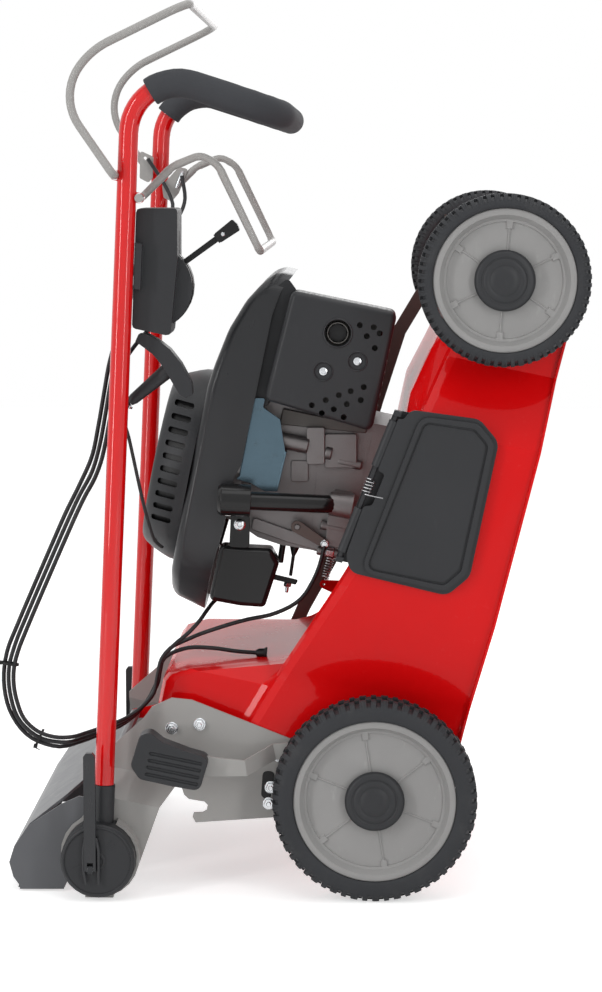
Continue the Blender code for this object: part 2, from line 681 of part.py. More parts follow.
def bracket(side):
    s = SIDES[side]
    wall = [(-0.0500, 0.205), (0.036, 0.205), (0.0596, 0.3395), (0.0572, 0.3620), (0.0425, 0.3820), (0.028, 0.3886),
            (-0.0275, 0.430), (-0.035, 0.4285), (-0.035, 0.3345), (-0.0500, 0.3262), (-0.0538, 0.3200),
            (-0.0530, 0.3020), (-0.0560, 0.2975), (-0.0620, 0.2975), (-0.0655, 0.3015), (-0.0680, 0.3114),
            (-0.0730, 0.3118), (-0.0790, 0.3070), (-0.0578, 0.2319)]
    joggle = [(-0.035, 0.3345), (-0.035, 0.4285), (-0.065, 0.4220), (-0.065, 0.3500)]
    seat = [(-0.065, 0.3500), (-0.065, 0.4220)] + arc(*KNUCKLE, SEAT_R, 40, 270, 14)

    def lift(x, z):
        return BRACKET_Y if z < 0.3300 else table([(JOGGLE_X[0], SEAT_Y), (JOGGLE_X[1], BRACKET_Y)], x)
    obj = solid(f"handle_bracket_{side}", mirrored(sheet([wall, joggle, seat], lift, SHEET), s), "stand", LIGHT)
    ring = arc(*KNUCKLE, RING_R[1], 165, 345, 12) + arc(*KNUCKLE, RING_R[0], 345, 165, 12)
    join(obj, "ring", mirrored(plate(ring, SEAT_Y + 0.001, 0.238), s))
    centre = Vector(at(KNUCKLE, 0))
    corners = [centre - ROW_Z * d + ROW_X * e for d, e in ((foot_drop, -0.016), (foot_drop, 0.016),
                                                         (RING_R[0] + 0.0007, 0.016), (RING_R[0] + 0.0007, -0.016))]
    join(obj, "foot", mirrored(plate([(c.x, c.z) for c in corners], SEAT_Y + 0.0005, 0.2385), s))
    join(obj, "pin", mirrored(rod([at(KNUCKLE, SEAT_Y + 0.001), at(KNUCKLE, KNUCKLE_Y[1] - RUN)], PIN_R, 12), s))


bracket("right")
bracket("left")

# Bails
UPPER_LINE = [(0.6944, 0.6105), (0.7496, 0.5851), (0.8205, 0.4920)]
LOWER_LINE = [(0.6440, 0.4780), (0.6630, 0.4500), (0.6560, 0.4290), (0.5723, 0.3649)]
UPPER_Y = 0.2515
LOWER_Y = 0.2000
empty("upper_bail_joint", "handle_joint", at(UPPER_PIVOT, 0))
empty("lower_bail_joint", "handle_joint", at(LOWER_PIVOT, 0))


def bail(name, joint, pivot, line, arm_y, pin_right, pin_left, radii):
    corners = [at(pivot, -pin_right), at(pivot, -arm_y)] + [at(p, -arm_y) for p in line]
    corners += [at(p, arm_y) for p in line[::-1]] + [at(pivot, arm_y), at(pivot, pin_left)]
    return solid(name, rod(bend(corners, radii + radii[::-1], 3), BAIL_R, 8), joint, LIGHT)


LUG_T = 0.003
upper = bail("upper_bail", "upper_bail_joint", UPPER_PIVOT, UPPER_LINE, UPPER_Y, 0.222, 0.2030,
             [0.008, 0.030, 0.040, 0.030])
upper_lug = [(0.6502, 0.5510), (0.6163, 0.5450), (0.6130, 0.5330), (0.6200, 0.5290), (0.6459, 0.5330)]
join(upper, "lug", plate(upper_lug, 0.2015, 0.2015 + LUG_T, [circle(0.6420, 0.5430, 0.0020, 6)]))
lower = bail("lower_bail", "lower_bail_joint", LOWER_PIVOT, LOWER_LINE, LOWER_Y, 0.2385, 0.2385,
             [0.008, 0.020, 0.014, 0.014, 0.016])
LOWER_EYE = (0.6345, 0.4934)
lower_lug = [(0.6128, 0.5150), (0.5985, 0.5100), (0.5960, 0.4990), (0.6080, 0.4925), (0.6400, 0.4870), (0.6400, 0.4990)]
join(lower, "lug", plate(lower_lug, 0.1940, 0.1940 + LUG_T, [circle(*LOWER_EYE, 0.0020, 6)]))
join(lower, "weld", rod([at((0.6050, 0.5035), 0.1955), at((0.6050, 0.5035), 0.2010)], 0.0042, 8))

# Control box with the throttle dome and its lever
BOX_Y = (0.150, TUBE_Y - TUBE_R - FIT)
DOME = (0.5090, 0.4760)
DOME_R = 0.047
box_outline = [(0.5915, 0.5070), (0.4610, 0.4860), (0.4610, 0.4425), (0.5424, 0.4510), (0.6006, 0.4626),
               (0.5991, 0.4702)]
box = solid("control_box", plate(fillet(box_outline, 0.005, 2), -BOX_Y[1], -BOX_Y[0]), "handle_joint", BLACK)
join(box, "dome", plate(arc(*DOME, DOME_R, -190, 10, 16), -0.206, -0.164))
saddle = [(x, tube_z(x) - TUBE_R - RUN) for x in (0.505, 0.555)] + [(0.555, 0.4920), (0.505, 0.4840)]
join(box, "saddle", plate(saddle, -TUBE_Y - 0.003, -BOX_Y[1] + 0.002))
empty("throttle_joint", "handle_joint", at(DOME, -0.185))
wedge = [DOME] + arc(*DOME, 0.070, -42.5 - 40, -42.5 + 40, 4)
cut(box, "slot", plate(wedge, -0.1875 - RUN, -0.1825 + RUN))
knob_dir = Vector((math.cos(math.radians(-42.5)), math.sin(math.radians(-42.5))))
knob_side = Vector((-knob_dir.y, knob_dir.x))


def along(centre, direction, sideways, pairs):
    return [tuple(Vector(centre) + direction * a + sideways * b) for a, b in pairs]


stem = along(DOME, knob_dir, knob_side, [(0.020, -0.003), (0.092, -0.0035), (0.092, -0.0062), (0.116, -0.0075),
                                         (0.118, 0.0000), (0.116, 0.0075), (0.092, 0.0062), (0.092, 0.0035),
                                         (0.020, 0.003)])
throttle = solid("throttle_lever", plate(stem, -0.1875, -0.1825), "throttle_joint", BLACK)
knob = along(DOME, knob_dir, knob_side, [(0.090, -0.0055), (0.117, -0.0068), (0.1185, 0.0), (0.117, 0.0068),
                                         (0.090, 0.0055)])
join(throttle, "knob", plate(knob, -0.193, -0.177))

# Rope guide, starter grip and rope
GUIDE_R = 0.0058
PULL = Vector((0.782, 0.0, -0.622)).normalized()
GRIP_Y = -0.200
nozzle_end = Vector((0.3781, GRIP_Y, 0.4736))
GUIDE = nozzle_end - PULL * 0.0028
guide_u = Vector((0, -1, 0))
guide_v = PULL.cross(guide_u)
ring_start = GUIDE + guide_u * GUIDE_R * 1.9 + guide_v * 0.0020
tube_point = Vector((GUIDE.x, -TUBE_Y, tube_z(GUIDE.x)))
guide_pts = [tube_point + (ring_start - tube_point).normalized() * (TUBE_R + RUN), ring_start]
guide_pts += [GUIDE + (guide_u * math.cos(a) + guide_v * math.sin(a)) * GUIDE_R + PULL * (0.0010 * a / 5.0 - 0.0005)
              for a in [math.radians(15 + 310 * k / 11) for k in range(12)]]
solid("rope_guide", rod(guide_pts, 0.0019, 6, up=(0.3, 0.1, 1)), "handle_joint", STEEL)

empty("starter_grip_joint", "handle_joint", nozzle_end)
grip_outline = [(0.4470, 0.4800), (0.4425, 0.4700), (0.4370, 0.4585), (0.4275, 0.4465), (0.4190, 0.4385),
                (0.4080, 0.4285), (0.3985, 0.4200), (0.3965, 0.4130), (0.4020, 0.4060), (0.4150, 0.4100),
                (0.4336, 0.4255), (0.4460, 0.4400), (0.4540, 0.4560), (0.4580, 0.4700), (0.4555, 0.4780)]
starter = solid("starter_grip", plate(grip_outline, GRIP_Y - 0.0125, GRIP_Y + 0.0125), "starter_grip_joint", BLACK)
nozzle = [nozzle_end + PULL * d for d in (0.0, 0.006, 0.0435, 0.066)]
join(starter, "nozzle", rod(nozzle, [0.0045, 0.0065, 0.0085, 0.0095], 12))
cut(starter, "rope_bore", rod([nozzle_end - PULL * 0.01, nozzle_end + PULL * 0.020], 0.0032, 8))

ROPE_R = 0.0020
rope_route = [nozzle_end + PULL * 0.016, nozzle_end + PULL * 0.004, tuple(GUIDE), (0.3560, -0.1960, 0.4755), (0.3325, -0.1800, 0.4665),
              (0.2680, -0.1500, 0.4420), (0.2350, -0.1180, 0.4300), (0.2145, -0.0920, 0.4215),
              (0.2065, -0.0790, 0.4120)]
rope_points, rope_length = smooth_path(rope_route, 28)
curve_solid("starter_rope", rope_points, ROPE_R, "stand", BLACK)

# Deck
def deck_section(x, nose=False):
    """Half sections from the rim inwards: right side, centre, left side."""
    w = table(DECK_HALF, x)
    rim_z = table(RIM, x)
    top = table(DECK_TOP, x)
    halves = []
    for s, ridge_table in ((-1, RIDGE_R), (1, RIDGE_L)):
        ridge = table(ridge_table, x)
        half = [(w + LIP, rim_z), (w, rim_z), (w, ridge - 0.012), (w - 0.004, ridge - 0.003), (w - 0.011, ridge)]
        if top > ridge + 0.03:
            half += [(TUNNEL_HALF + 0.0035, ridge + 0.001), (TUNNEL_HALF, ridge + 0.008), (TUNNEL_HALF, top - 0.014),
                     (TUNNEL_HALF - 0.004, top - 0.004), (TUNNEL_HALF - 0.014, top)]
        else:
            foot = table(SLOPE_FOOT, x)
            half += [(w - 0.018, ridge - 0.001), (foot + 0.012, top + 0.35 * (ridge - top)), (foot, top),
                     (foot - 0.02, top), (foot * 0.5, top)]
        if nose:
            half = [(y, rim_z + min(z - rim_z, 0.002 + 0.0015 * min(i, 3)) if i > 1 else z)
                    for i, (y, z) in enumerate(half)]
        halves.append([(x, s * y, z) for y, z in half])
    mid = rim_z + 0.0065 if nose else top
    return halves[0] + [(x, 0, mid)] + halves[1][::-1]


DECK_X = [DECK_REAR_X, 0.0, 0.045, 0.070, 0.0795, 0.0901, 0.1154, 0.135, 0.160, 0.190, 0.220, 0.254, 0.320, 0.387,
          0.420, 0.450, 0.500, 0.520, 0.560, 0.600, 0.640]
DECK_X = [x for x in DECK_X if x < DECK_NOSE_X - 0.014] + [DECK_NOSE_X - 0.006]


def deck_shell():
    rows = [deck_section(x) for x in DECK_X] + [deck_section(DECK_NOSE_X, True)]
    n = len(rows[0])
    verts = [p for row in rows for p in row]
    faces = [(j * n + i, (j + 1) * n + i, (j + 1) * n + i + 1, j * n + i + 1)
             for j in range(len(rows) - 1) for i in range(n - 1)]
    mesh = bpy.data.meshes.new("deck")
    mesh.from_pydata(verts, [], faces)
    mesh.materials.append(material("deck_material", *RED))
    obj = bpy.data.objects.new("deck", mesh)
    bpy.context.scene.collection.objects.link(obj)
    obj.parent = bpy.data.objects["stand"]
    wall = obj.modifiers.new("wall", "SOLIDIFY")
    wall.thickness = SHEET
    wall.offset = -1.0
    wall.use_even_offset = True
    wall.use_rim = True
    return obj


deck = deck_shell()
floor_line = [(0.1140, 0.090), (0.1060, 0.160), (0.0880, 0.176), (-0.0450, 0.200)]


def ribbon(line, widths, thickness):
    """A bent panel: a line in the side view, a half width at each point."""
    pts = [Vector(p) for p in line]
    rings = []
    for i, p in enumerate(pts):
        d0 = (p - pts[i - 1]).normalized() if i else (pts[1] - p).normalized()
        d1 = (pts[i + 1] - p).normalized() if i + 1 < len(pts) else d0
        t = (d0 + d1).normalized()
        n = Vector((-t.y, t.x)) * (thickness / 2 / max(0.6, d0.dot(t)))
        w = widths[i]
        rings.append([(p.x + n.x, -w, p.y + n.y), (p.x + n.x, w, p.y + n.y), (p.x - n.x, w, p.y - n.y),
                      (p.x - n.x, -w, p.y - n.y)])
    return loft(rings)


inner_half = table(DECK_HALF, 0) - 0.0012
join(deck, "chute_floor", ribbon(floor_line, [inner_half] * 4, SHEET))
FLAP_PIN = (-0.0450, 0.4150)
FLAP_LUG_Y = (0.1515, 0.1545)
for side, s in SIDES.items():
    lug = hull(circle(*FLAP_PIN, 0.006, 8) + [(-0.0430, 0.3755), (-0.022, 0.3755)])
    join(deck, f"flap_lug_{side}", mirrored(plate(lug, *FLAP_LUG_Y), s))
    join(deck, f"flap_pin_{side}", mirrored(rod([at(FLAP_PIN, FLAP_LUG_Y[0] - 0.014), at(FLAP_PIN, FLAP_LUG_Y[1] - 0.001)],
                                                0.003, 8), s))
SPRING_TAB = (0.1610, 0.2140)
tab = hull(circle(*SPRING_TAB, 0.0055, 8) + [(0.150, 0.190), (0.172, 0.182)])
join(deck, "spring_tab", plate(tab, 0.1850, 0.1875, [circle(*SPRING_TAB, 0.0014, 8)]))
cut(deck, "crank_hole", plate(circle(CRANK_X, 0, CRANK_HOLE_R, 20), 0.14, 0.20, axis="z"))
for label, piv in (("rear", REAR_PIVOT), ("front", FRONT_PIVOT)):
    cut(deck, f"shaft_{label}", rod([at(piv, -0.25), at(piv, 0.25)], SHAFT_R + RUN, 12))
opening = [(0.262, 0.072), (0.424, 0.072), (0.424, 0.138), (0.262, 0.166)]
cut(deck, "discharge", plate(fillet(opening, 0.008, 2), -0.252, -0.226))

# Discharge flap, its hinge strip and its spring
HINGE_A = Vector((0.4330, -0.2375, 0.1790))
HINGE_B = Vector((0.2553, -0.2375, 0.2098))
hinge_dir = (HINGE_B - HINGE_A).normalized()
hinge_len = (HINGE_B - HINGE_A).length
HINGE_PIN_R = 0.0028
empty("discharge_flap_joint", "stand", HINGE_A)


def hinge_at(s, drop=0.0):
    p = HINGE_A + hinge_dir * s
    return (p.x, p.z - drop)


strip_low = [(x, table(RIDGE_R, x) + RUN) for x in (0.2553, 0.320, 0.387, 0.4330)]
strip_outline = strip_low + [hinge_at(0, -0.004), hinge_at(hinge_len, -0.004)]
windows = [[(0.268, 0.2000), (0.296, 0.1940), (0.296, 0.2020), (0.268, 0.2070)],
           [(0.392, 0.1720), (0.422, 0.1650), (0.422, 0.1760), (0.392, 0.1815)]]
hinge = solid("flap_hinge", plate(strip_outline, -0.2300, -0.2275, windows), "stand", BLACK)
for k, s0 in enumerate((0.0, hinge_len - 0.006)):
    a, b, c, d = hinge_at(s0, -0.0035), hinge_at(s0 + 0.006, -0.0035), hinge_at(s0 + 0.006, 0.0045), \
        hinge_at(s0, 0.0045)
    join(hinge, f"ear{k}", plate([a, b, c, d], -0.2415, -0.2285))
join(hinge, "pin", rod([HINGE_A + hinge_dir * 0.002, HINGE_B - hinge_dir * 0.002], HINGE_PIN_R, 8))

flap_outline = [hinge_at(0.008, 0.0030), hinge_at(0.008, 0.0085), (0.4375, 0.165), (0.4425, 0.0897), (0.4219, 0.0639),
                (0.2696, 0.0639), (0.2435, 0.0843), (0.2470, 0.1940), hinge_at(hinge_len - 0.010, 0.0050),
                hinge_at(0.112, 0.0030), hinge_at(0.110, 0.012), hinge_at(0.072, 0.012), hinge_at(0.070, 0.0030)]
flap = solid("discharge_flap", plate(flap_outline, -0.2435, -0.2405), "discharge_flap_joint", BLACK)
frame_out = [(0.4330, 0.1540), (0.4380, 0.0905), (0.4195, 0.0680), (0.2720, 0.0680), (0.2480, 0.0865),
             (0.2500, 0.1840)]
frame_in = [(0.4250, 0.1480), (0.4300, 0.0940), (0.4150, 0.0760), (0.2760, 0.0760), (0.2560, 0.0900),
            (0.2580, 0.1765)]
join(flap, "frame", plate(frame_out, -0.2475, -0.2430, [frame_in]))
for k, (s0, s1) in enumerate(((0.012, 0.066), (0.116, hinge_len - 0.012))):
    barrel = sleeve([HINGE_A + hinge_dir * s0, HINGE_A + hinge_dir * s1], HINGE_PIN_R + FIT, 0.0058, 10)
    join(flap, f"barrel{k}", barrel)

SPRING_WIRE = 0.0007
spring_axis_u = Vector((0, -1, 0))
spring_axis_v = hinge_dir.cross(spring_axis_u).normalized()
coil = []
FLAP_COILS, FLAP_PITCH, FLAP_COIL_R = 5, 0.0036, 0.0054
for k in range(FLAP_COILS * 8 + 1):
    a = 2 * math.pi * k / 8
    coil.append(HINGE_A + hinge_dir * (0.081 + FLAP_PITCH * k / 8)
                + (spring_axis_u * math.cos(a) + spring_axis_v * math.sin(a)) * FLAP_COIL_R)
leg = coil[-1]
coil += [leg + Vector((0.0, -0.0022, -0.005)), leg + Vector((0.0, -0.0022, -0.020))]
curve_solid("flap_spring", coil, SPRING_WIRE, "discharge_flap_joint", STEEL, 1)

# Link spring: from the deck's tab to the link's eye
LINK_COILS, LINK_COIL_R, LINK_WIRE = 9, 0.0045, 0.0008
spring_a = Vector(at(SPRING_TAB, 0.1955))
spring_b = Vector(at(SPRING_EYE, 0.1955))
line = (spring_b - spring_a).normalized()
side_u = Vector((0, 1, 0))
side_v = line.cross(side_u).normalized()
wound = [Vector(at(SPRING_TAB, 0.1835)), Vector(at(SPRING_TAB, 0.1900)), spring_a + line * 0.0015 - side_u * 0.0030]
body_len = (spring_b - spring_a).length - 0.012
for k in range(LINK_COILS * 8 + 1):
    a = math.pi + 2 * math.pi * k / 8
    wound.append(spring_a + line * (0.006 + body_len * k / (LINK_COILS * 8))
                 + (side_u * math.cos(a) + side_v * math.sin(a)) * LINK_COIL_R)
wound += [spring_b - line * 0.0015 - side_u * 0.0030, Vector(at(SPRING_EYE, 0.1980)), Vector(at(SPRING_EYE, 0.2085))]
curve_solid("link_spring", wound, LINK_WIRE, "stand", STEEL, 1)


def least_turn_gap(pitch, wire):
    return pitch - 2 * wire


print("spring gaps between turns, mm:", round(1000 * least_turn_gap(FLAP_PITCH, SPRING_WIRE), 2),
      round(1000 * least_turn_gap(body_len / LINK_COILS, LINK_WIRE), 2))

# Rear flap: a curved panel with two cheeks on a barrel
empty("rear_flap_joint", "stand", at(FLAP_PIN, 0))
panel_line = [(-0.0485, 0.4185), (-0.0606, 0.4375), (-0.0800, 0.4565), (-0.1157, 0.4900), (-0.1450, 0.5020),
              (-0.1639, 0.5040), (-0.1790, 0.4965), (-0.1870, 0.4880), (-0.1905, 0.4885)]
panel_half = [0.1475, 0.1475, 0.1850, 0.2110, 0.2110, 0.2110, 0.2110, 0.2110, 0.2110]
rear_flap = solid("rear_flap", ribbon(panel_line, panel_half, 0.003), "rear_flap_joint", GREY)
cheek = [(-0.0720, 0.4420), (-0.0850, 0.4600), (-0.1157, 0.4905), (-0.1450, 0.5025), (-0.1640, 0.5045), (-0.1795, 0.4970),
         (-0.1875, 0.4880), (-0.1920, 0.4877), (-0.1815, 0.4385), (-0.1450, 0.4300), (-0.0720, 0.4270)]
for side, s in SIDES.items():
    join(rear_flap, f"cheek_{side}", mirrored(plate(cheek, 0.2095, 0.2125), s))
join(rear_flap, "barrel", sleeve([at(FLAP_PIN, -0.1500), at(FLAP_PIN, 0.1500)], 0.0034, 0.0062, 10))

# Engine: crankcase, finned cylinder and head in one casting, with the crankshaft's bore
case = [(0.400, PLATEAU + RUN), (0.210, PLATEAU + RUN), (0.182, 0.200), (0.178, 0.275), (0.186, 0.318),
        (0.205, BLOCK_TOP), (0.385, BLOCK_TOP), (0.400, 0.322)]
block = solid("engine_block", plate(case, -BLOCK_HALF, BLOCK_HALF), "stand", ALLOY)
join(block, "cylinder", plate([(0.390, 0.207), (0.512, 0.207), (0.512, 0.318), (0.390, 0.318)], -0.046, 0.046))
for k in range(6):
    x = 0.414 + 0.0135 * k
    join(block, f"fin{k}", plate(fillet([(-FIN_HALF, 0.198), (FIN_HALF, 0.198), (FIN_HALF, 0.327),
                                         (-FIN_HALF, 0.327)], 0.010, 2),
                                 x, x + 0.0035, axis="x"))
join(block, "head", plate(fillet([(-0.054, 0.202), (0.054, 0.202), (0.054, 0.323), (-0.054, 0.323)], 0.012, 2),
                          0.505, 0.524, axis="x"))
join(block, "fan_base", plate(circle(CRANK_X, 0, 0.100, 24), BLOCK_TOP - 0.0014, 0.3470, axis="z"))
cut(block, "bore", plate(circle(CRANK_X, 0, SHAFT_DIA_R + SIDE, 16), 0.15, 0.36, axis="z"))
BRAKE_PIN = (0.2650, 0.2620)
join(block, "brake_pin", rod([at(BRAKE_PIN, -BLOCK_HALF + 0.004), at(BRAKE_PIN, -0.1010)], 0.003, 8))

# Crank train
empty("crank_joint", "stand", (CRANK_X, 0, PLATEAU))
axis_xy = (CRANK_X, 0)
shaft_top, shaft_low = 0.392, 0.066
solid("crankshaft", revolve([(0, shaft_low), (SHAFT_DIA_R, shaft_low), (SHAFT_DIA_R, 0.376), (0.008, 0.378),
                             (0.008, shaft_top), (0, shaft_top)], axis_xy, 14, "z"), "crank_joint", STEEL)
solid("flywheel", revolve([(SHAFT_DIA_R + FIT, 0.350), (0.030, 0.350), (0.034, 0.356), (0.074, 0.356), (0.076, 0.350),
                           (0.086, 0.350), (0.086, 0.372), (0.060, 0.376), (SHAFT_DIA_R + FIT, 0.374)],
                          axis_xy, 24, "z"), "crank_joint", IRON)
BLADE_Z = 0.0500
BLADE_T = 0.004
HOLDER_LOW = BLADE_Z + BLADE_T + FIT
BOLT_R = 0.005
holder = [(SHAFT_DIA_R + FIT, 0.108), (0.022, 0.108), (0.022, 0.066), (0.030, 0.062), (0.030, HOLDER_LOW),
          (BOLT_R, HOLDER_LOW), (BOLT_R, BLADE_Z - FIT), (0.010, BLADE_Z - FIT), (0.010, 0.0420), (0, 0.0420),
          (0, shaft_low - RUN), (SHAFT_DIA_R + FIT, shaft_low - RUN)]
solid("blade_holder", revolve(holder, axis_xy, 14, "z"), "crank_joint", IRON)


def blade():
    """A flat bar with upturned wings behind its cutting ends."""
    half, w = BLADE_LEN / 2, BLADE_W / 2
    verts, faces = plate([(CRANK_X - w, -half + 0.006), (CRANK_X + w, -half), (CRANK_X + w, half - 0.006),
                          (CRANK_X - w, half)], BLADE_Z, BLADE_Z + BLADE_T,
                         [circle(CRANK_X, 0, BOLT_R + RUN, 10)], axis="z")
    return verts, faces


cutter = solid("blade", blade(), "crank_joint", STEEL)
for k, s in enumerate((1, -1)):
    wing = [(CRANK_X - s * 0.020, BLADE_Z + 0.001), (CRANK_X - s * 0.0245, BLADE_Z + 0.001),
            (CRANK_X - s * 0.0310, BLADE_Z + 0.016), (CRANK_X - s * 0.0285, BLADE_Z + 0.017)]
    span = (0.165, 0.2180) if s > 0 else (-0.2180, -0.165)
    join(cutter, f"wing{k}", plate(wing, *span))

# Shroud over the flywheel: one ring of points per level, hollow underneath, open under the starter cover
PLAN = [(0.548, 0.030), (0.546, 0.070), (0.532, 0.092), (0.508, 0.106), (0.470, 0.112), (0.430, 0.115),
        (0.390, 0.118), (0.350, 0.1185), (0.310, 0.1190), (0.270, 0.1185), (0.235, 0.1150), (0.205, 0.1030),
        (0.182, 0.086), (0.162, 0.064), (0.150, 0.036), (0.149, 0.012)]
plan = [(x, -y) for x, y in PLAN] + [(x, y) for x, y in PLAN[::-1]]
SHROUD_TOP_LINE = [(0.149, 0.392), (0.175, SHROUD_TOP), (0.405, SHROUD_TOP), (0.430, 0.393), (0.474, 0.385),
                   (0.510, 0.372), (0.530, 0.360), (0.550, 0.346)]
SHROUD_LOW_LINE = [(0.149, 0.351), (0.200, 0.349), (0.248, 0.345), (0.309, 0.345), (0.325, 0.3395), (0.500, 0.3395),
                   (0.530, 0.335), (0.550, 0.325)]


def inset(loop, d):
    out = []
    n = len(loop)
    for i in range(n):
        p, a, b = Vector(loop[i]), Vector(loop[i - 1]), Vector(loop[(i + 1) % n])
        t = ((p - a).normalized() + (b - p).normalized()).normalized()
        normal = Vector((t.y, -t.x))
        centre = Vector((0.33, 0))
        if normal.dot(centre - p) < 0:
            normal = -normal
        out.append(tuple(p + normal * d))
    return out


WALL = 0.0027
HOLE_R = 0.096


def shroud():
    def level(loop, rule):
        return [(x, y, rule(x)) for x, y in loop]

    def top(x):
        return table(SHROUD_TOP_LINE, x)

    def low(x):
        return table(SHROUD_LOW_LINE, x)
    hole = []
    for x, y in plan:
        a = math.atan2(y, x - CRANK_X)
        hole.append((CRANK_X + HOLE_R * math.cos(a), HOLE_R * math.sin(a)))
    rings = [level(plan, low), level(plan, lambda x: top(x) - 0.012), level(inset(plan, 0.004), lambda x: top(x) - 0.003),
             level(inset(plan, 0.011), top), level(hole, lambda x: SHROUD_TOP),
             level(hole, lambda x: SHROUD_TOP - WALL), level(inset(plan, 0.013), lambda x: top(x) - WALL),
             level(inset(plan, WALL), lambda x: top(x) - 0.0135), level(inset(plan, WALL), low)]
    return loft(rings, closed=True)


solid("blower_shroud", shroud(), "stand", BLACK)
seat_x = PLAN[-1][0] + WALL + RUN
seat_y = 0.1185 - WALL - RUN
rear_y = PLAN[-1][1]
join(block, "seat_rear", plate([(seat_x, -rear_y), (0.210, -rear_y), (0.210, rear_y), (seat_x, rear_y)],
                               0.3440, 0.3550, axis="z"))
for side, s in SIDES.items():
    foot = [(0.315, s * 0.088), (0.345, s * 0.088), (0.345, s * seat_y), (0.315, s * seat_y)]
    join(block, f"seat_{side}", plate(foot[::s], 0.3400, 0.3470 - FIT, axis="z"))

COVER_R = 0.1160
COVER_TOP = 0.4405
cover_low = SHROUD_TOP + FIT
cover = [(COVER_R, cover_low), (0.1120, 0.4130), (0.1000, 0.4360), (0.0930, COVER_TOP), (0, COVER_TOP),
         (0, COVER_TOP - WALL), (0.0915, COVER_TOP - WALL), (0.0975, 0.4340), (0.1094, 0.4120),
         (COVER_R - WALL, cover_low)]
starter_cover = solid("starter_cover", revolve(cover, axis_xy, 30, "z"), "stand", BLACK)
join(starter_cover, "post", rod([(CRANK_X, 0, 0.4020), (CRANK_X, 0, COVER_TOP - WALL / 2)], 0.008, 12))
SLOTS = 9
for k in range(SLOTS):
    x = 0.3760 - 0.0165 * k
    cut(starter_cover, f"slot{k}", plate([(x - 0.0035, 0.409), (x + 0.0035, 0.409), (x + 0.0035, 0.430),
                                          (x - 0.0035, 0.430)], -0.125, -0.055))
empty("pulley_joint", "stand", (CRANK_X, 0, 0.415))
solid("starter_pulley", revolve([(0.008 + RUN, 0.4060), (PULLEY_R + 0.004, 0.4060), (PULLEY_R, 0.4100),
                                 (PULLEY_R, 0.4150), (PULLEY_R + 0.004, 0.4190), (0.008 + RUN, 0.4190)],
                                axis_xy, 20, "z"), "pulley_joint", BLACK)

# Muffler and its perforated guard
GUARD_Y = (-0.1400, -BLOCK_HALF - RUN)
guard_outline = fillet([(0.5343, 0.3226), (0.4054, 0.3287), (0.3947, 0.2008), (0.5343, 0.2000)], 0.010, 2)
guard_mid = (0.467, 0.263)
guard_inner = [(guard_mid[0] + (x - guard_mid[0]) * 0.974, guard_mid[1] + (z - guard_mid[1]) * 0.972)
               for x, z in guard_outline]
VENTS = [(0.5111, 0.2391), (0.5121, 0.2231), (0.5066, 0.2150), (0.5005, 0.2288), (0.4891, 0.2171),
         (0.4109, 0.2740), (0.4198, 0.2596), (0.4284, 0.2462), (0.4356, 0.2338), (0.4431, 0.2203),
         (0.4043, 0.2610), (0.4116, 0.2486), (0.4202, 0.2352), (0.4279, 0.2206), (0.4049, 0.2356)]
EXHAUST = (0.4972, 0.2617)


def guard():
    """A tray: holed front, four walls, open towards the engine."""
    outer, inner = guard_outline, guard_inner
    loops = [circle(*EXHAUST, 0.0150, 14)] + [circle(x, z, 0.0030, 6) for x, z in VENTS]
    n = len(outer)
    t = 0.0016
    verts, faces = [], []

    def add(points, y):
        start = len(verts)
        verts.extend((p[0], y, p[1]) for p in points)
        return start
    o_front, o_back = add(outer, GUARD_Y[0]), add(outer, GUARD_Y[1])
    i_front, i_back = add(inner, GUARD_Y[0] + t), add(inner, GUARD_Y[1])
    h_front = [add(loop, GUARD_Y[0]) for loop in loops]
    h_back = [add(loop, GUARD_Y[0] + t) for loop in loops]
    for base, starts in ((o_front, h_front), (i_front, h_back)):
        ring = outer if base == o_front else inner
        ids = list(range(base, base + n)) + [st + i for st, loop in zip(starts, loops) for i in range(len(loop))]
        shapes = [[Vector((p[0], p[1], 0)) for p in loop] for loop in [ring] + loops]
        faces += [tuple(ids[i] for i in tri) for tri in tessellate_polygon(shapes)]
    for i in range(n):
        k = (i + 1) % n
        faces += [(o_front + i, o_front + k, o_back + k, o_back + i), (i_front + i, i_front + k, i_back + k, i_back + i),
                  (o_back + i, o_back + k, i_back + k, i_back + i)]
    for a, b, loop in zip(h_front, h_back, loops):
        m = len(loop)
        faces += [(a + i, a + (i + 1) % m, b + (i + 1) % m, b + i) for i in range(m)]
    return verts, faces


solid("muffler_guard", guard(), "stand", BLACK)
muffler_outline = fillet([(0.5200, 0.3120), (0.4160, 0.3160), (0.4080, 0.2130), (0.5200, 0.2120)], 0.012, 2)
muffler = solid("muffler", plate(muffler_outline, -0.1200, -0.0720), "stand", IRON)
join(muffler, "tip", rod([at(EXHAUST, -0.1100), at(EXHAUST, -0.1380)], 0.0125, 12))
join(muffler, "inlet", rod([at((0.4560, 0.2620), -0.0800), at((0.4560, 0.2620), -FIN_HALF - RUN)], 0.012, 12))

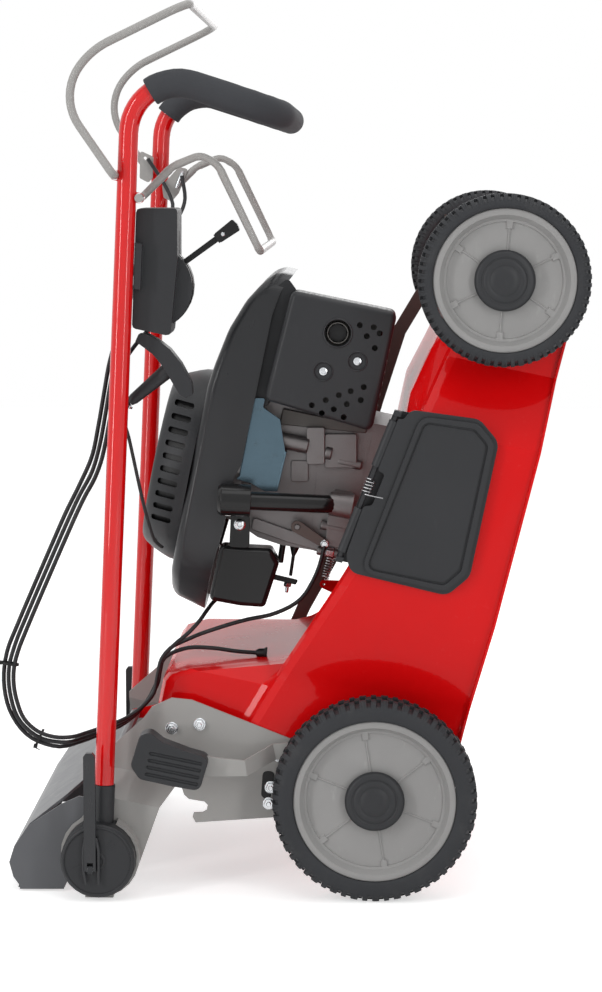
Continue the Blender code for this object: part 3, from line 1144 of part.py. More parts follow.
# Fuel tank on the left, its cap, and the other small engine pieces
TANK_NECK = (0.3300, 0.1440)
tank_outline = fillet([(0.165, 0.262), (0.395, 0.250), (0.395, 0.335), (0.165, 0.335)], 0.014, 3)
tank = solid("fuel_tank", plate(tank_outline, BLOCK_HALF + RUN, 0.165), "stand", BLACK)
NECK_R, NECK_TOP = 0.0165, 0.350
join(tank, "neck", rod([(*TANK_NECK, 0.325), (*TANK_NECK, NECK_TOP)], NECK_R, 14))
empty("fuel_cap_joint", "stand", (*TANK_NECK, NECK_TOP))
solid("fuel_cap", revolve([(0, NECK_TOP + RUN), (NECK_R + RUN, NECK_TOP + RUN), (NECK_R + RUN, 0.3390),
                           (0.0215, 0.3390), (0.0215, 0.3540), (0.0190, 0.3580), (0, 0.3580)],
                          TANK_NECK, 16, "z"), "fuel_cap_joint", BLACK)
filter_outline = fillet([(0.2375, 0.2819), (0.2330, 0.3435), (0.1640, 0.3380), (0.1670, 0.2670), (0.2250, 0.2720)],
                        0.006, 2)
solid("air_filter_box", plate(filter_outline, -0.1250, -BLOCK_HALF - RUN), "stand", BLACK)

FILLER_R = 0.0105
filler_line = bend([(0.2845, -0.1390, 0.3480), (0.3045, -0.1320, 0.2200), (0.3045, -BLOCK_HALF - RUN, 0.2200)],
                   [0.022], 4)
solid("oil_filler_tube", rod(filler_line, FILLER_R, 12), "stand", DARK)
cap_axis = (filler_line[0] - filler_line[1]).normalized()
cap_side = cap_axis.cross(Vector((0, 1, 0))).normalized()
cap_other = cap_axis.cross(cap_side)
empty("dipstick_joint", "stand", filler_line[0])


def turned(profile, origin, axis, u, v, steps):
    rings = []
    for r, h in profile:
        rings.append([origin + axis * h + (u * math.cos(2 * math.pi * i / steps)
                                           + v * math.sin(2 * math.pi * i / steps)) * r
                      for i in range(steps if r else 1)])
    verts, faces, starts = [], [], []
    for ring in rings:
        starts.append(len(verts))
        verts += ring
    for j in range(len(rings)):
        a, b = rings[j], rings[(j + 1) % len(rings)]
        sa, sb = starts[j], starts[(j + 1) % len(rings)]
        for i in range(steps):
            k = (i + 1) % steps
            if len(a) > 1 and len(b) > 1:
                faces.append((sa + i, sa + k, sb + k, sb + i))
            elif len(a) > 1:
                faces.append((sa + i, sa + k, sb))
            elif len(b) > 1:
                faces.append((sa, sb + k, sb + i))
    return verts, faces


solid("dipstick", turned([(0, RUN), (FILLER_R + RUN, RUN), (FILLER_R + RUN, -0.028), (0.0185, -0.028),
                          (0.0185, 0.006), (0.0150, 0.0100), (0, 0.0100)],
                         filler_line[0], cap_axis, cap_side, cap_other, 14), "dipstick_joint", BLACK)

baffle = solid("heat_baffle", plate([(0.3180, 0.2980), (0.3910, 0.2880), (0.3910, 0.3340), (0.3180, 0.3340)],
                                    -0.1085, -0.1068), "stand", BAFFLE)
join(baffle, "flange", plate([(-0.1080, 0.3320), (-BLOCK_HALF - RUN, 0.3320), (-BLOCK_HALF - RUN, 0.3336),
                              (-0.1080, 0.3336)], 0.3190, 0.3900, axis="x"))

empty("brake_arm_joint", "stand", at(BRAKE_PIN, -0.0970))
arm_outline = hull(circle(*BRAKE_PIN, 0.0075, 10) + circle(0.2520, 0.2270, 0.0050, 8))
BRAKE_EYE = (0.2520, 0.2270)
solid("brake_arm", plate(arm_outline, -0.0990, -0.0965, [circle(*BRAKE_PIN, 0.003 + FIT, 8),
                                                         circle(*BRAKE_EYE, 0.0018, 6)]), "brake_arm_joint", STEEL)

# Rear wheel drive: a gearbox on the rear cross shaft and a closed belt case under the deck's plateau
gear = solid("gearbox", plate(fillet([(0.018, 0.096), (0.092, 0.096), (0.092, 0.150), (0.076, 0.160), (0.018, 0.160)],
                                     0.008, 2), -0.036, 0.036), "stand", ALLOY)
cut(gear, "bore", rod([at(REAR_PIVOT, -0.05), at(REAR_PIVOT, 0.05)], SHAFT_R + RUN, 12))
case_plan = hull(circle(CRANK_X, 0, 0.036, 16) + circle(0.152, 0, 0.030, 14))
solid("drive_cover", plate(case_plan, 0.1200, PLATEAU - SHEET - RUN, [circle(CRANK_X, 0, SHAFT_DIA_R + SIDE, 14)],
                           axis="z"), "stand", BLACK)

# Control cables: they leave the handle together, loop down and back, and part at the engine
CABLE_R = 0.0024
bundle = [(0.4050, 0.4990), (0.3620, 0.4975), (0.3008, 0.4985), (0.2516, 0.5117), (0.1543, 0.5330), (0.0871, 0.5466),
          (0.0595, 0.5494), (0.0290, 0.5435), (-0.0026, 0.5258), (-0.0172, 0.4998), (-0.0165, 0.4700)]


def strand(start, shift, dy, tail):
    """One cable of the bundle: shift moves it across the loop, dy along the mower's width."""
    pts = [Vector(p) for p in start]
    line = [Vector(p) for p in bundle]
    for i, p in enumerate(line):
        t = (line[min(i + 1, len(line) - 1)] - line[max(i - 1, 0)]).normalized()
        n = Vector((-t.y, t.x))
        q = p + n * shift * (-1)
        y = -0.2035 + dy
        pts.append(Vector((q.x, y, q.y)))
    return pts + [Vector(p) for p in tail]


SPREAD = 0.0059
far_start = [(0.5900, 0.1750, 0.4950), (0.5300, 0.0800, 0.5150), (0.4700, -0.0700, 0.5150), (0.4380, -0.1650, 0.5060)]
routes = {
    "throttle_cable": strand([(0.4580, -0.1700, 0.4720), (0.4350, -0.1760, 0.4840)], -SPREAD, 0.0,
                             [(-0.0030, -0.1760, 0.4440), (0.0140, -0.1400, 0.4080), (0.0430, -0.1200, 0.3860),
                              (0.0840, -0.1150, 0.3850), (0.1250, -0.1020, 0.3560), (0.1560, -0.0600, 0.3380),
                              (0.1816, -0.0500, 0.3105)]),
    "brake_cable": strand([(0.6420, 0.1960, 0.5390)] + far_start, SPREAD, 0.0055,
                          [(-0.0150, -0.1650, 0.4480), (0.0020, -0.1240, 0.4120), (0.0400, -0.0950, 0.3870),
                           (0.0880, -0.0880, 0.3820), (0.1350, -0.1000, 0.3200), (0.1750, -0.1080, 0.2480),
                           (0.2350, -0.1050, 0.2250), (0.2500, -0.1020, 0.2262)]),
    "drive_cable": strand([(0.6300, 0.1890, 0.4925), (0.5900, 0.1690, 0.4820), (0.5300, 0.0780, 0.5065),
                           (0.4700, -0.0720, 0.5065), (0.4380, -0.1600, 0.4990)], 0.0, 0.0015,
                          [(-0.0100, -0.1700, 0.4460), (0.0080, -0.1320, 0.4100), (0.0430, -0.1080, 0.3860),
                           (0.0850, -0.1040, 0.3820), (0.1030, -0.1030, 0.3480), (0.1070, -0.1030, 0.3080),
                           (0.1122, -0.1030, 0.2700)]),
}
cable_lengths = {}
for name, route in routes.items():
    points, cable_lengths[name] = smooth_path(route, 42)
    curve_solid(name, points, CABLE_R, "stand", BLACK)
print("cord lengths, m:", round(rope_length, 3), {k: round(v, 3) for k, v in cable_lengths.items()})


def settle():
    """Put the row's origin under the middle of everything that is kept."""
    bpy.context.view_layer.update()
    graph = bpy.context.evaluated_depsgraph_get()
    low, high = Vector((1e9,) * 3), Vector((-1e9,) * 3)
    for obj in bpy.data.objects:
        if obj.type not in ("MESH", "CURVE") or obj.hide_render:
            continue
        shape = obj.evaluated_get(graph)
        mesh = shape.to_mesh()
        for v in mesh.vertices:
            p = obj.matrix_world @ v.co
            low = Vector(map(min, low, p))
            high = Vector(map(max, high, p))
        shape.to_mesh_clear()
    stand.location -= Vector(((low.x + high.x) / 2, (low.y + high.y) / 2, low.z))
    bpy.context.view_layer.update()
    print("size, m:", [round(v, 4) for v in high - low], "stand at", [round(v, 5) for v in stand.location])


settle()
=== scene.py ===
"""Petrol lawn mower stored on end: camera, studio, finishes and fine pieces around the CAD frame."""

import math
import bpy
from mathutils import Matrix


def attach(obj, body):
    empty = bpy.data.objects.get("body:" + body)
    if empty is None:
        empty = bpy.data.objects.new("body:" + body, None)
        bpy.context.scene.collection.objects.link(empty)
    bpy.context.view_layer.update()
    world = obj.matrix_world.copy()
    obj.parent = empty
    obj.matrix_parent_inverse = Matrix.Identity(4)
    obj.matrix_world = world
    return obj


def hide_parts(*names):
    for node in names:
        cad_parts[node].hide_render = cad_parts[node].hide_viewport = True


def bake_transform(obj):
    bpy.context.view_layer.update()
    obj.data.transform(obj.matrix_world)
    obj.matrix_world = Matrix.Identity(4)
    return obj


bl_info = {
    "name": "Stored Petrol Mower",
    "version": (1, 0, 0),
    "blender": (4, 5, 0),
    "location": "3D View > Sidebar > Mower",
    "description": "Dresses the solids of a petrol lawn mower that is stored on end",
    "category": "Object",
}

import bmesh
import bpy
from mathutils import Matrix, Vector
from mathutils.geometry import tessellate_polygon

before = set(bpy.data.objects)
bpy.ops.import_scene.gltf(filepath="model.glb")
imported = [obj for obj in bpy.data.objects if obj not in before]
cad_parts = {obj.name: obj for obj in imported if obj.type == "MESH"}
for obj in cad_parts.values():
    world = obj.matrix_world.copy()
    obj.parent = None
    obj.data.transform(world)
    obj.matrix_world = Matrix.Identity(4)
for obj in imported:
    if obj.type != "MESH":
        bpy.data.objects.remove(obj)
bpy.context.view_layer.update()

# The mower's own frame (x to the nose, y to its left, z up from the blade side) leans back on the floor
LEAN_SIN, LEAN_COS = 0.2017617, 0.9794346
STAND = Matrix(((LEAN_SIN, 0, -LEAN_COS, 0.2071217), (0, 1, 0, 0), (LEAN_COS, 0, LEAN_SIN, 0.0917974),
                (0, 0, 0, 1)))

# Sizes that repeat the part's own, in metres and in the mower's frame
REAR_HUB, FRONT_HUB = (0.0, 0.115), (0.5968, 0.095)
WHEEL_R = {"rear": 0.115, "front": 0.095}
RIM_R = {"rear": 0.0912, "front": 0.0787}
LUGS = {"rear": 58, "front": 62}
RIB_PHASE = {"rear": math.radians(10), "front": math.radians(23)}
WHEEL_Y, TYRE_W, LUG_DEPTH = 0.232, 0.046, 0.004
CAP_R = 0.0335
TUBE_R, TUBE_Y, GRIP_R = 0.011, 0.230, 0.0158
TUBE_FOOT, TUBE_BEND, CROSSBAR = (-0.0474, 0.4160), (0.7431, 0.5414), (0.724, 0.372)
BAIL_R = 0.0047
UPPER_PIVOT, LOWER_PIVOT = (0.6225, 0.5357), (0.6035, 0.5047)
KNUCKLE, KNUCKLE_R, KNUCKLE_FACE = (-0.130, 0.405), 0.042, 0.256
FORK_Y = 0.2606
LOCK_PIN = (-0.1392, 0.4109)
LOCK_FORK = [[(-0.1047, 0.4226), (-0.1189, 0.4226), (-0.1435, 0.4176), (-0.1570, 0.4122)],
             [(-0.1025, 0.4122), (-0.1164, 0.4062), (-0.1400, 0.4015), (-0.1545, 0.3982)]]
STAND_X = Vector((LEAN_SIN, 0, -LEAN_COS))
DOME, DOME_R = (0.5090, 0.4760), 0.047
CRANK_X = 0.300
SIDES = {"right": -1, "left": 1}


# ---------------------------------------------------------------- outlines and paths
def table(rows, x):
    """Straight-line lookup in rows of (x, value), held at both ends."""
    if x <= rows[0][0]:
        return rows[0][1]
    for (xa, va), (xb, vb) in zip(rows, rows[1:]):
        if x <= xb:
            return va + (vb - va) * (x - xa) / (xb - xa)
    return rows[-1][1]


def circle(cx, cz, r, steps=24):
    return [(cx + r * math.cos(2 * math.pi * i / steps), cz + r * math.sin(2 * math.pi * i / steps))
            for i in range(steps)]


def fillet(points, radius, steps=6):
    """Round every corner of a closed outline."""
    out = []
    for i, corner in enumerate(points):
        p = Vector(corner)
        a, b = Vector(points[i - 1]) - p, Vector(points[(i + 1) % len(points)]) - p
        turn = math.pi - a.angle(b)
        reach = min(radius * math.tan(turn / 2), 0.45 * a.length, 0.45 * b.length)
        if turn < 0.05:
            out.append(tuple(p))
            continue
        p0, p1 = p + a.normalized() * reach, p + b.normalized() * reach
        out += [tuple((1 - t) ** 2 * p0 + 2 * t * (1 - t) * p + t * t * p1)
                for t in (k / steps for k in range(steps + 1))]
    return out


def inset(loop, distance, centre):
    """Move an outline towards a centre, square to itself."""
    out = []
    for i, corner in enumerate(loop):
        p, a, b = Vector(corner), Vector(loop[i - 1]), Vector(loop[(i + 1) % len(loop)])
        along = ((p - a).normalized() + (b - p).normalized()).normalized()
        normal = Vector((along.y, -along.x))
        if normal.dot(Vector(centre) - p) < 0:
            normal = -normal
        out.append(tuple(p + normal * distance))
    return out


def bend(points, radii, steps=12):
    """Round the inner corners of an open path in space with true arcs."""
    out = [Vector(points[0])]
    for p, r, before, after in zip(points[1:-1], radii, points, points[2:]):
        p = Vector(p)
        a, b = (Vector(before) - p).normalized(), (Vector(after) - p).normalized()
        turn = math.pi - a.angle(b)
        reach = r * math.tan(turn / 2)
        centre = p + (a + b).normalized() * (r / math.cos(turn / 2))
        start, stop = p + a * reach - centre, p + b * reach - centre
        square = (stop - start * math.cos(turn)) / math.sin(turn)
        out += [centre + start * math.cos(turn * k / steps) + square * math.sin(turn * k / steps)
                for k in range(steps + 1)]
    return out + [Vector(points[-1])]


def smooth_path(points, count):
    """Evenly spaced points on a smooth curve through the given ones."""
    pts = [Vector(p) for p in points]
    ext = [pts[0] * 2 - pts[1]] + pts + [pts[-1] * 2 - pts[-2]]
    fine = []
    for p0, p1, p2, p3 in zip(ext, ext[1:], ext[2:], ext[3:]):
        for t in (k / 24 for k in range(24)):
            fine.append(0.5 * (2 * p1 + (p2 - p0) * t + (2 * p0 - 5 * p1 + 4 * p2 - p3) * t * t
                               + (3 * p1 - p0 - 3 * p2 + p3) * t ** 3))
    fine.append(pts[-1])
    lengths = [0.0]
    for a, b in zip(fine, fine[1:]):
        lengths.append(lengths[-1] + (b - a).length)
    out, j = [], 0
    for i in range(count):
        want = lengths[-1] * i / (count - 1)
        while j < len(lengths) - 2 and lengths[j + 1] < want:
            j += 1
        span = lengths[j + 1] - lengths[j]
        out.append(fine[j].lerp(fine[j + 1], (want - lengths[j]) / span if span else 0))
    return out, lengths[-1]


def at(point, y):
    return Vector((point[0], y, point[1]))


def frames(path, up):
    """A pair of cross directions at each point of a path, carried along without twist."""
    tangents = []
    for i, p in enumerate(path):
        a = p - path[i - 1] if i else path[1] - path[0]
        b = path[i + 1] - p if i + 1 < len(path) else a
        tangents.append((a.normalized() + b.normalized()).normalized())
    u = Vector(up)
    out = []
    for i, (p, t) in enumerate(zip(path, tangents)):
        if i:
            u = tangents[i - 1].rotation_difference(t) @ u
        u = (u - t * t.dot(u)).normalized()
        out.append((p, u, t.cross(u)))
    return out


# ---------------------------------------------------------------- shapes: (points, faces) in the mower's frame
def merge(*shapes):
    points, faces = [], []
    for some, more in shapes:
        start = len(points)
        points += [Vector(p) for p in some]
        faces += [tuple(i + start for i in face) for face in more]
    return points, faces


def mirrored(shape, side):
    points, faces = shape
    return [(p[0], p[1] * side, p[2]) for p in points], faces


def loft(rings, closed=False):
    """Join rings of equally many points; closed joins the last ring to the first."""
    n, m = len(rings[0]), len(rings)
    faces = [(j * n + i, j * n + (i + 1) % n, (j + 1) % m * n + (i + 1) % n, (j + 1) % m * n + i)
             for j in range(m if closed else m - 1) for i in range(n)]
    if not closed:
        faces += [tuple(range(n))[::-1], tuple((m - 1) * n + i for i in range(n))]
    return [p for ring in rings for p in ring], faces


def tube(path, radius, sides=20, up=(0.1, 0.2, 1), section=None, squash=None):
    """A round bar along a path; section gives a radius per point, squash a flattening per point."""
    rings = []
    for i, (p, u, v) in enumerate(frames([Vector(q) for q in path], up)):
        r = section[i] if section else radius
        k = squash[i] if squash else 1.0
        rings.append([p + u * (r * k * math.cos(2 * math.pi * j / sides)) + v * (r * math.sin(2 * math.pi * j / sides))
                      for j in range(sides)])
    return loft(rings)


PLACE = {"y": lambda p, h: (p[0], h, p[1]), "z": lambda p, h: (p[0], p[1], h), "x": lambda p, h: (h, p[0], p[1])}


def plate(outline, low, high, holes=(), axis="y"):
    """An outline with holes, drawn square to an axis and given its thickness along it."""
    loops = [list(outline)] + [list(h) for h in holes]
    flat = [p for loop in loops for p in loop]
    count = len(flat)
    points = [PLACE[axis](p, low) for p in flat] + [PLACE[axis](p, high) for p in flat]
    faces = []
    if holes:
        for tri in tessellate_polygon([[Vector((*p, 0)) for p in loop] for loop in loops]):
            faces += [tuple(tri), tuple(i + count for i in reversed(tri))]
    else:
        faces += [tuple(range(count)), tuple(range(2 * count - 1, count - 1, -1))]
    start = 0
    for loop in loops:
        n = len(loop)
        faces += [(start + i, start + (i + 1) % n, start + (i + 1) % n + count, start + i + count) for i in range(n)]
        start += n
    return points, faces


def revolve(profile, centre, steps=64, axis="y"):
    """Turn a closed profile of (radius, height) about an axis through a point of its plane."""
    rings = []
    for k in range(steps):
        a = 2 * math.pi * k / steps
        rings.append([PLACE[axis]((centre[0] + r * math.cos(a), centre[1] + r * math.sin(a)), h) for r, h in profile])
    return loft(rings, closed=True)


def turned(profile, base, direction, steps=24):
    """Turn an open profile of (radius, distance along a direction) about any axis; both ends are closed."""
    d = Vector(direction).normalized()
    u = d.orthogonal().normalized()
    v = d.cross(u)
    rings = [[Vector(base) + d * h + (u * math.cos(2 * math.pi * k / steps) + v * math.sin(2 * math.pi * k / steps)) * r
              for k in range(steps)] for r, h in profile]
    return loft(rings)


def bolt(base, direction, across=0.010, thick=0.005, washer=0.0075, stub=0.0):
    """A hexagon head on its washer, with the thread's end where a stub is given."""
    r = across / math.sqrt(3)
    head = turned([(r * 0.86, 0.0012), (r, 0.0018), (r, 0.0012 + thick * 0.82), (r * 0.84, 0.0012 + thick)],
                  base, direction, 6)
    disc = turned([(washer, -0.0004), (washer, 0.0008), (washer - 0.0006, 0.0013)], base, direction, 28)
    parts = [head, disc]
    if stub:
        parts.append(turned([(across * 0.28, thick), (across * 0.28, thick + stub),
                             (across * 0.22, thick + stub + 0.0008)], base, direction, 16))
    else:
        parts.append(turned([(r * 0.5, thick + 0.0010), (r * 0.46, thick + 0.0016)], base, direction, 20))
    return merge(*parts)


def carve(shape, *cutters):
    """The first shape less the others, worked out once and returned as a plain shape."""
    made = []
    for points, faces in (shape, merge(*cutters)):
        mesh = bpy.data.meshes.new("carving")
        mesh.from_pydata([Vector(p) for p in points], [], faces)
        work = bmesh.new()
        work.from_mesh(mesh)
        bmesh.ops.remove_doubles(work, verts=work.verts, dist=1e-5)
        bmesh.ops.recalc_face_normals(work, faces=work.faces)
        work.to_mesh(mesh)
        work.free()
        obj = bpy.data.objects.new("carving", mesh)
        bpy.context.scene.collection.objects.link(obj)
        made.append(obj)
    step = made[0].modifiers.new("cut", "BOOLEAN")
    step.operation, step.solver, step.object, step.use_self = "DIFFERENCE", "EXACT", made[1], True
    bpy.context.view_layer.update()
    result = made[0].evaluated_get(bpy.context.evaluated_depsgraph_get()).to_mesh()
    out = [v.co.copy() for v in result.vertices], [tuple(f.vertices) for f in result.polygons]
    for obj in made:
        mesh = obj.data
        bpy.data.objects.remove(obj)
        bpy.data.meshes.remove(mesh)
    return out


def node_shape(node):
    """A carried-over solid's own points and faces, in the mower's frame."""
    obj = bpy.data.objects[node]
    back = STAND.inverted() @ obj.matrix_world
    return [back @ v.co for v in obj.data.vertices], [tuple(f.vertices) for f in obj.data.polygons]


def piece(name, shape, finish, body, replaces=(), edge=0.0, angle=35):
    """One new object at its real place, riding on a body of the frame."""
    points, faces = shape
    mesh = bpy.data.meshes.new(name)
    mesh.from_pydata([STAND @ Vector(p) for p in points], [], faces)
    work = bmesh.new()
    work.from_mesh(mesh)
    bmesh.ops.recalc_face_normals(work, faces=work.faces)
    work.to_mesh(mesh)
    work.free()
    mesh.materials.append(finish)
    mesh.shade_smooth()
    mesh.set_sharp_from_angle(angle=math.radians(angle))
    obj = bpy.data.objects.new(name, mesh)
    bpy.context.scene.collection.objects.link(obj)
    if edge:
        round_edges(obj, edge, angle)
    if replaces:
        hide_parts(*replaces)
    if body:
        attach(obj, body)
    return obj


def round_edges(obj, width, angle=32):
    step = obj.modifiers.new("rounded edges", "BEVEL")
    step.width, step.segments, step.limit_method = width, 2, "ANGLE"
    step.angle_limit = math.radians(angle)
    step.miter_outer = "MITER_ARC"
    even = obj.modifiers.new("even shading", "WEIGHTED_NORMAL")
    even.keep_sharp = True


def dress(node, finish, edge=0.0006, angle=32):
    """A carried-over solid: its own mesh stays, its edges are rounded and it takes its finish."""
    obj = bpy.data.objects[node]
    for place in obj.material_slots:
        place.material = finish
    obj.data.shade_smooth()
    obj.data.set_sharp_from_angle(angle=math.radians(angle))
    join = obj.modifiers.new("joined points", "WELD")
    join.merge_threshold = 0.00002
    flat = obj.modifiers.new("plain faces", "DECIMATE")
    flat.decimate_type, flat.angle_limit = "DISSOLVE", math.radians(0.6)
    round_edges(obj, edge, angle)
    return obj


# ---------------------------------------------------------------- finishes
class Value:
    """A socket that adds a Math node whenever it is used in an expression."""

    def __init__(self, finish, socket):
        self.finish, self.socket = finish, socket

    def maths(self, operation, *operands):
        return self.finish.node("ShaderNodeMath", {"operation": operation}, dict(enumerate(operands)))[0]

    def __add__(self, other):
        return self.maths("ADD", self, other)

    def __sub__(self, other):
        return self.maths("SUBTRACT", self, other)

    def __rsub__(self, other):
        return self.maths("SUBTRACT", other, self)

    def __mul__(self, other):
        return self.maths("MULTIPLY", self, other)

    __radd__ = __add__
    __rmul__ = __mul__

    def between(self, low, high):
        """0 below the first number, 1 above the second, smooth in between."""
        return self.finish.node("ShaderNodeMapRange", {"interpolation_type": "SMOOTHSTEP"},
                                {"Value": self, "From Min": low, "From Max": high})["Result"]


class Outputs:
    """The output sockets of one node, by name or number."""

    def __init__(self, finish, made):
        self.finish, self.made = finish, made

    def __getitem__(self, key):
        return Value(self.finish, self.made.outputs[key])


class Finish:
    """One material: a Principled shader and what feeds it."""

    def __init__(self, name):
        self.material = bpy.data.materials.new(name)
        self.material.use_nodes = True
        self.tree = self.material.node_tree
        self.shader = self.tree.nodes["Principled BSDF"]
        self.place = self.node("ShaderNodeTexCoord")["Object"]

    def node(self, kind, settings=None, sockets=None):
        made = self.tree.nodes.new(kind)
        for key, value in (settings or {}).items():
            setattr(made, key, value)
        for key, value in (sockets or {}).items():
            self.feed(made.inputs[key], value)
        return Outputs(self, made)

    def feed(self, socket, value):
        if isinstance(value, Value):
            self.tree.links.new(value.socket, socket)
        else:
            socket.default_value = value

    def set(self, **sockets):
        for key, value in sockets.items():
            self.feed(self.shader.inputs[key.replace("_", " ")], value)

    def noise(self, scale, detail=3.0, rough=0.55, stretch=None):
        where = self.place
        if stretch:
            where = self.node("ShaderNodeVectorMath", {"operation": "MULTIPLY"}, {0: where, 1: stretch})[0]
        return self.node("ShaderNodeTexNoise", None,
                         {"Vector": where, "Scale": scale, "Detail": detail, "Roughness": rough})["Fac"]

    def cells(self, scale):
        return self.node("ShaderNodeTexVoronoi", None, {"Vector": self.place, "Scale": scale})["Distance"]

    def mix(self, factor, first, second):
        made = self.tree.nodes.new("ShaderNodeMix")
        made.data_type = "RGBA"
        for key, value in ((0, factor), (6, first), (7, second)):
            self.feed(made.inputs[key], value)
        return Value(self, made.outputs[2])

    def bump(self, height, distance, strength=0.6, under=None):
        sockets = {"Height": height, "Distance": distance, "Strength": strength}
        if under is not None:
            sockets["Normal"] = under
        return self.node("ShaderNodeBump", None, sockets)["Normal"]


def rgb(colour, level=1.0):
    return (colour[0] * level, colour[1] * level, colour[2] * level, 1.0)


def paint(name, colour, rough, coat):
    """Sprayed or powder paint: slight depth changes, orange peel, a little settled dust."""
    f = Finish(name)
    cloud = f.noise(7.0, 4.0)
    dust = (f.noise(160.0, 5.0, 0.7).between(0.56, 0.78)) * (f.noise(14.0, 3.0).between(0.45, 0.75))
    body = f.mix(cloud, rgb(colour, 0.90), rgb(colour, 1.06))
    body = f.mix(dust * 0.035, body, (0.55, 0.54, 0.52, 1.0))
    peel = f.bump(f.noise(120.0, 2.0), 0.00002, 0.3)
    f.set(Base_Color=body, Roughness=f.noise(34.0, 3.0) * 0.08 + (rough - 0.04) + dust * 0.05, Normal=peel)
    f.set(Coat_Roughness=0.03, Specular_IOR_Level=0.05, Coat_Weight=coat)
    return f.material


def moulded(name, colour, rough, grain=0.00028, depth=0.00009, coat=0.0, gloss=0.26):
    """Moulded plastic: spark-eroded grain, faint flow marks, rubbed spots."""
    f = Finish(name)
    cloud = f.noise(11.0, 4.0)
    rub = f.noise(60.0, 5.0, 0.65, (1.0, 1.0, 0.35)).between(0.60, 0.74)
    body = f.mix(cloud, rgb(colour, 0.86), rgb(colour, 1.16))
    body = f.mix(rub * 0.16, body, rgb(colour, 1.9))
    skin = f.bump(f.noise(1.0 / grain * 0.5, 3.0, 0.6), depth, 0.55)
    f.set(Base_Color=body, Roughness=f.noise(45.0, 3.0) * 0.12 + (rough - 0.06) - rub * 0.10,
          Normal=f.bump(cloud, 0.0004, 0.25, skin))
    f.set(Coat_Weight=coat, Coat_Roughness=0.10, Specular_IOR_Level=gloss)
    return f.material


STAIN = (0.30, 0.25, 0.20)


def metal(name, colour, rough, metallic, streak=None, pits=0.0):
    """Bare or plated metal: rolled streaks or a cast skin, and a little staining."""
    f = Finish(name)
    cloud = f.noise(18.0, 5.0, 0.6)
    soil = f.noise(52.0, 5.0, 0.7).between(0.54, 0.80)
    line = f.noise(260.0, 3.0, 0.6, streak) if streak else f.noise(900.0, 3.0, 0.6)
    body = f.mix(cloud, rgb(colour, 0.84), rgb(colour, 1.12))
    body = f.mix(soil * 0.30, body, rgb([c * k for c, k in zip(colour, STAIN)], 2.2))
    skin = f.bump(line, 0.00004 if not pits else 0.00016, 0.5)
    if pits:
        skin = f.bump(f.cells(pits), 0.00030, 0.45, skin)
    f.set(Base_Color=body, Roughness=line * 0.16 + (rough - 0.08) + soil * 0.12, Normal=skin,
          Metallic=metallic - soil * (0.25 * metallic))
    return f.material


def rubber(name, colour, rough):
    f = Finish(name)
    dust = f.noise(26.0, 5.0, 0.65).between(0.48, 0.75)
    body = f.mix(f.noise(8.0, 3.0), rgb(colour, 0.8), rgb(colour, 1.2))
    body = f.mix(dust * 0.12, body, (0.16, 0.155, 0.15, 1.0))
    skin = f.bump(f.noise(1500.0, 3.0, 0.6), 0.00008, 0.6)
    f.set(Base_Color=body, Roughness=dust * 0.10 + (rough - 0.04), Normal=skin, Specular_IOR_Level=0.22)
    return f.material


def foam_rubber(name, colour):
    """Closed-cell foam: fine open pores over a soft, slightly uneven skin."""
    f = Finish(name)
    pores = f.cells(1500.0)
    lump = f.noise(70.0, 3.0)
    # The pore pits are painted darker: painted shade inside each pore.
    body = f.mix(pores.between(0.05, 0.45), rgb(colour, 0.72), rgb(colour, 1.12))
    skin = f.bump(pores, 0.00016, 0.7)
    f.set(Base_Color=f.mix(lump * 0.25, body, rgb(colour, 1.4)), Roughness=lump * 0.08 + 0.72,
          Normal=f.bump(lump, 0.0006, 0.3, skin))
    f.set(Specular_IOR_Level=0.15)
    return f.material


def braided(name, colour, rough):
    """Twisted strands of a starter rope."""
    f = Finish(name)
    strand = f.node("ShaderNodeTexWave", {"wave_type": "BANDS", "bands_direction": "DIAGONAL"},
                    {"Vector": f.place, "Scale": 260.0, "Distortion": 1.5, "Detail": 2.0, "Detail Scale": 2.0})["Fac"]
    # The low grooves between strands are painted darker: painted shade between the strands.
    f.set(Base_Color=f.mix(strand, rgb(colour, 0.6), rgb(colour, 1.5)), Roughness=strand * 0.10 + (rough - 0.05),
          Normal=f.bump(strand, 0.0003, 0.7))
    return f.material


# ---------------------------------------------------------------- what a user would change
class StudioSettings(bpy.types.PropertyGroup):
    camera_place: bpy.props.FloatVectorProperty(
        name="Camera place", description="Where the camera stands", default=(0.087115, -3.15195, 0.813062),
        size=3, subtype="TRANSLATION", unit="LENGTH")
    camera_turn: bpy.props.FloatProperty(
        name="Camera turn", description="How far the camera looks to its left of the y axis",
        default=math.radians(1.478), subtype="ANGLE")
    camera_tilt: bpy.props.FloatProperty(
        name="Camera tilt", description="How far the camera looks down", default=math.radians(6.958), subtype="ANGLE")
    lens: bpy.props.FloatProperty(name="Lens", description="Focal length in millimetres on a 36 mm frame",
                                  default=96.35)
    lamps: bpy.props.FloatProperty(name="Lamps", description="Level of all soft boxes together", default=1.0, min=0.0)
    room: bpy.props.FloatProperty(name="Room light", description="Level of the light from all around", default=0.50)


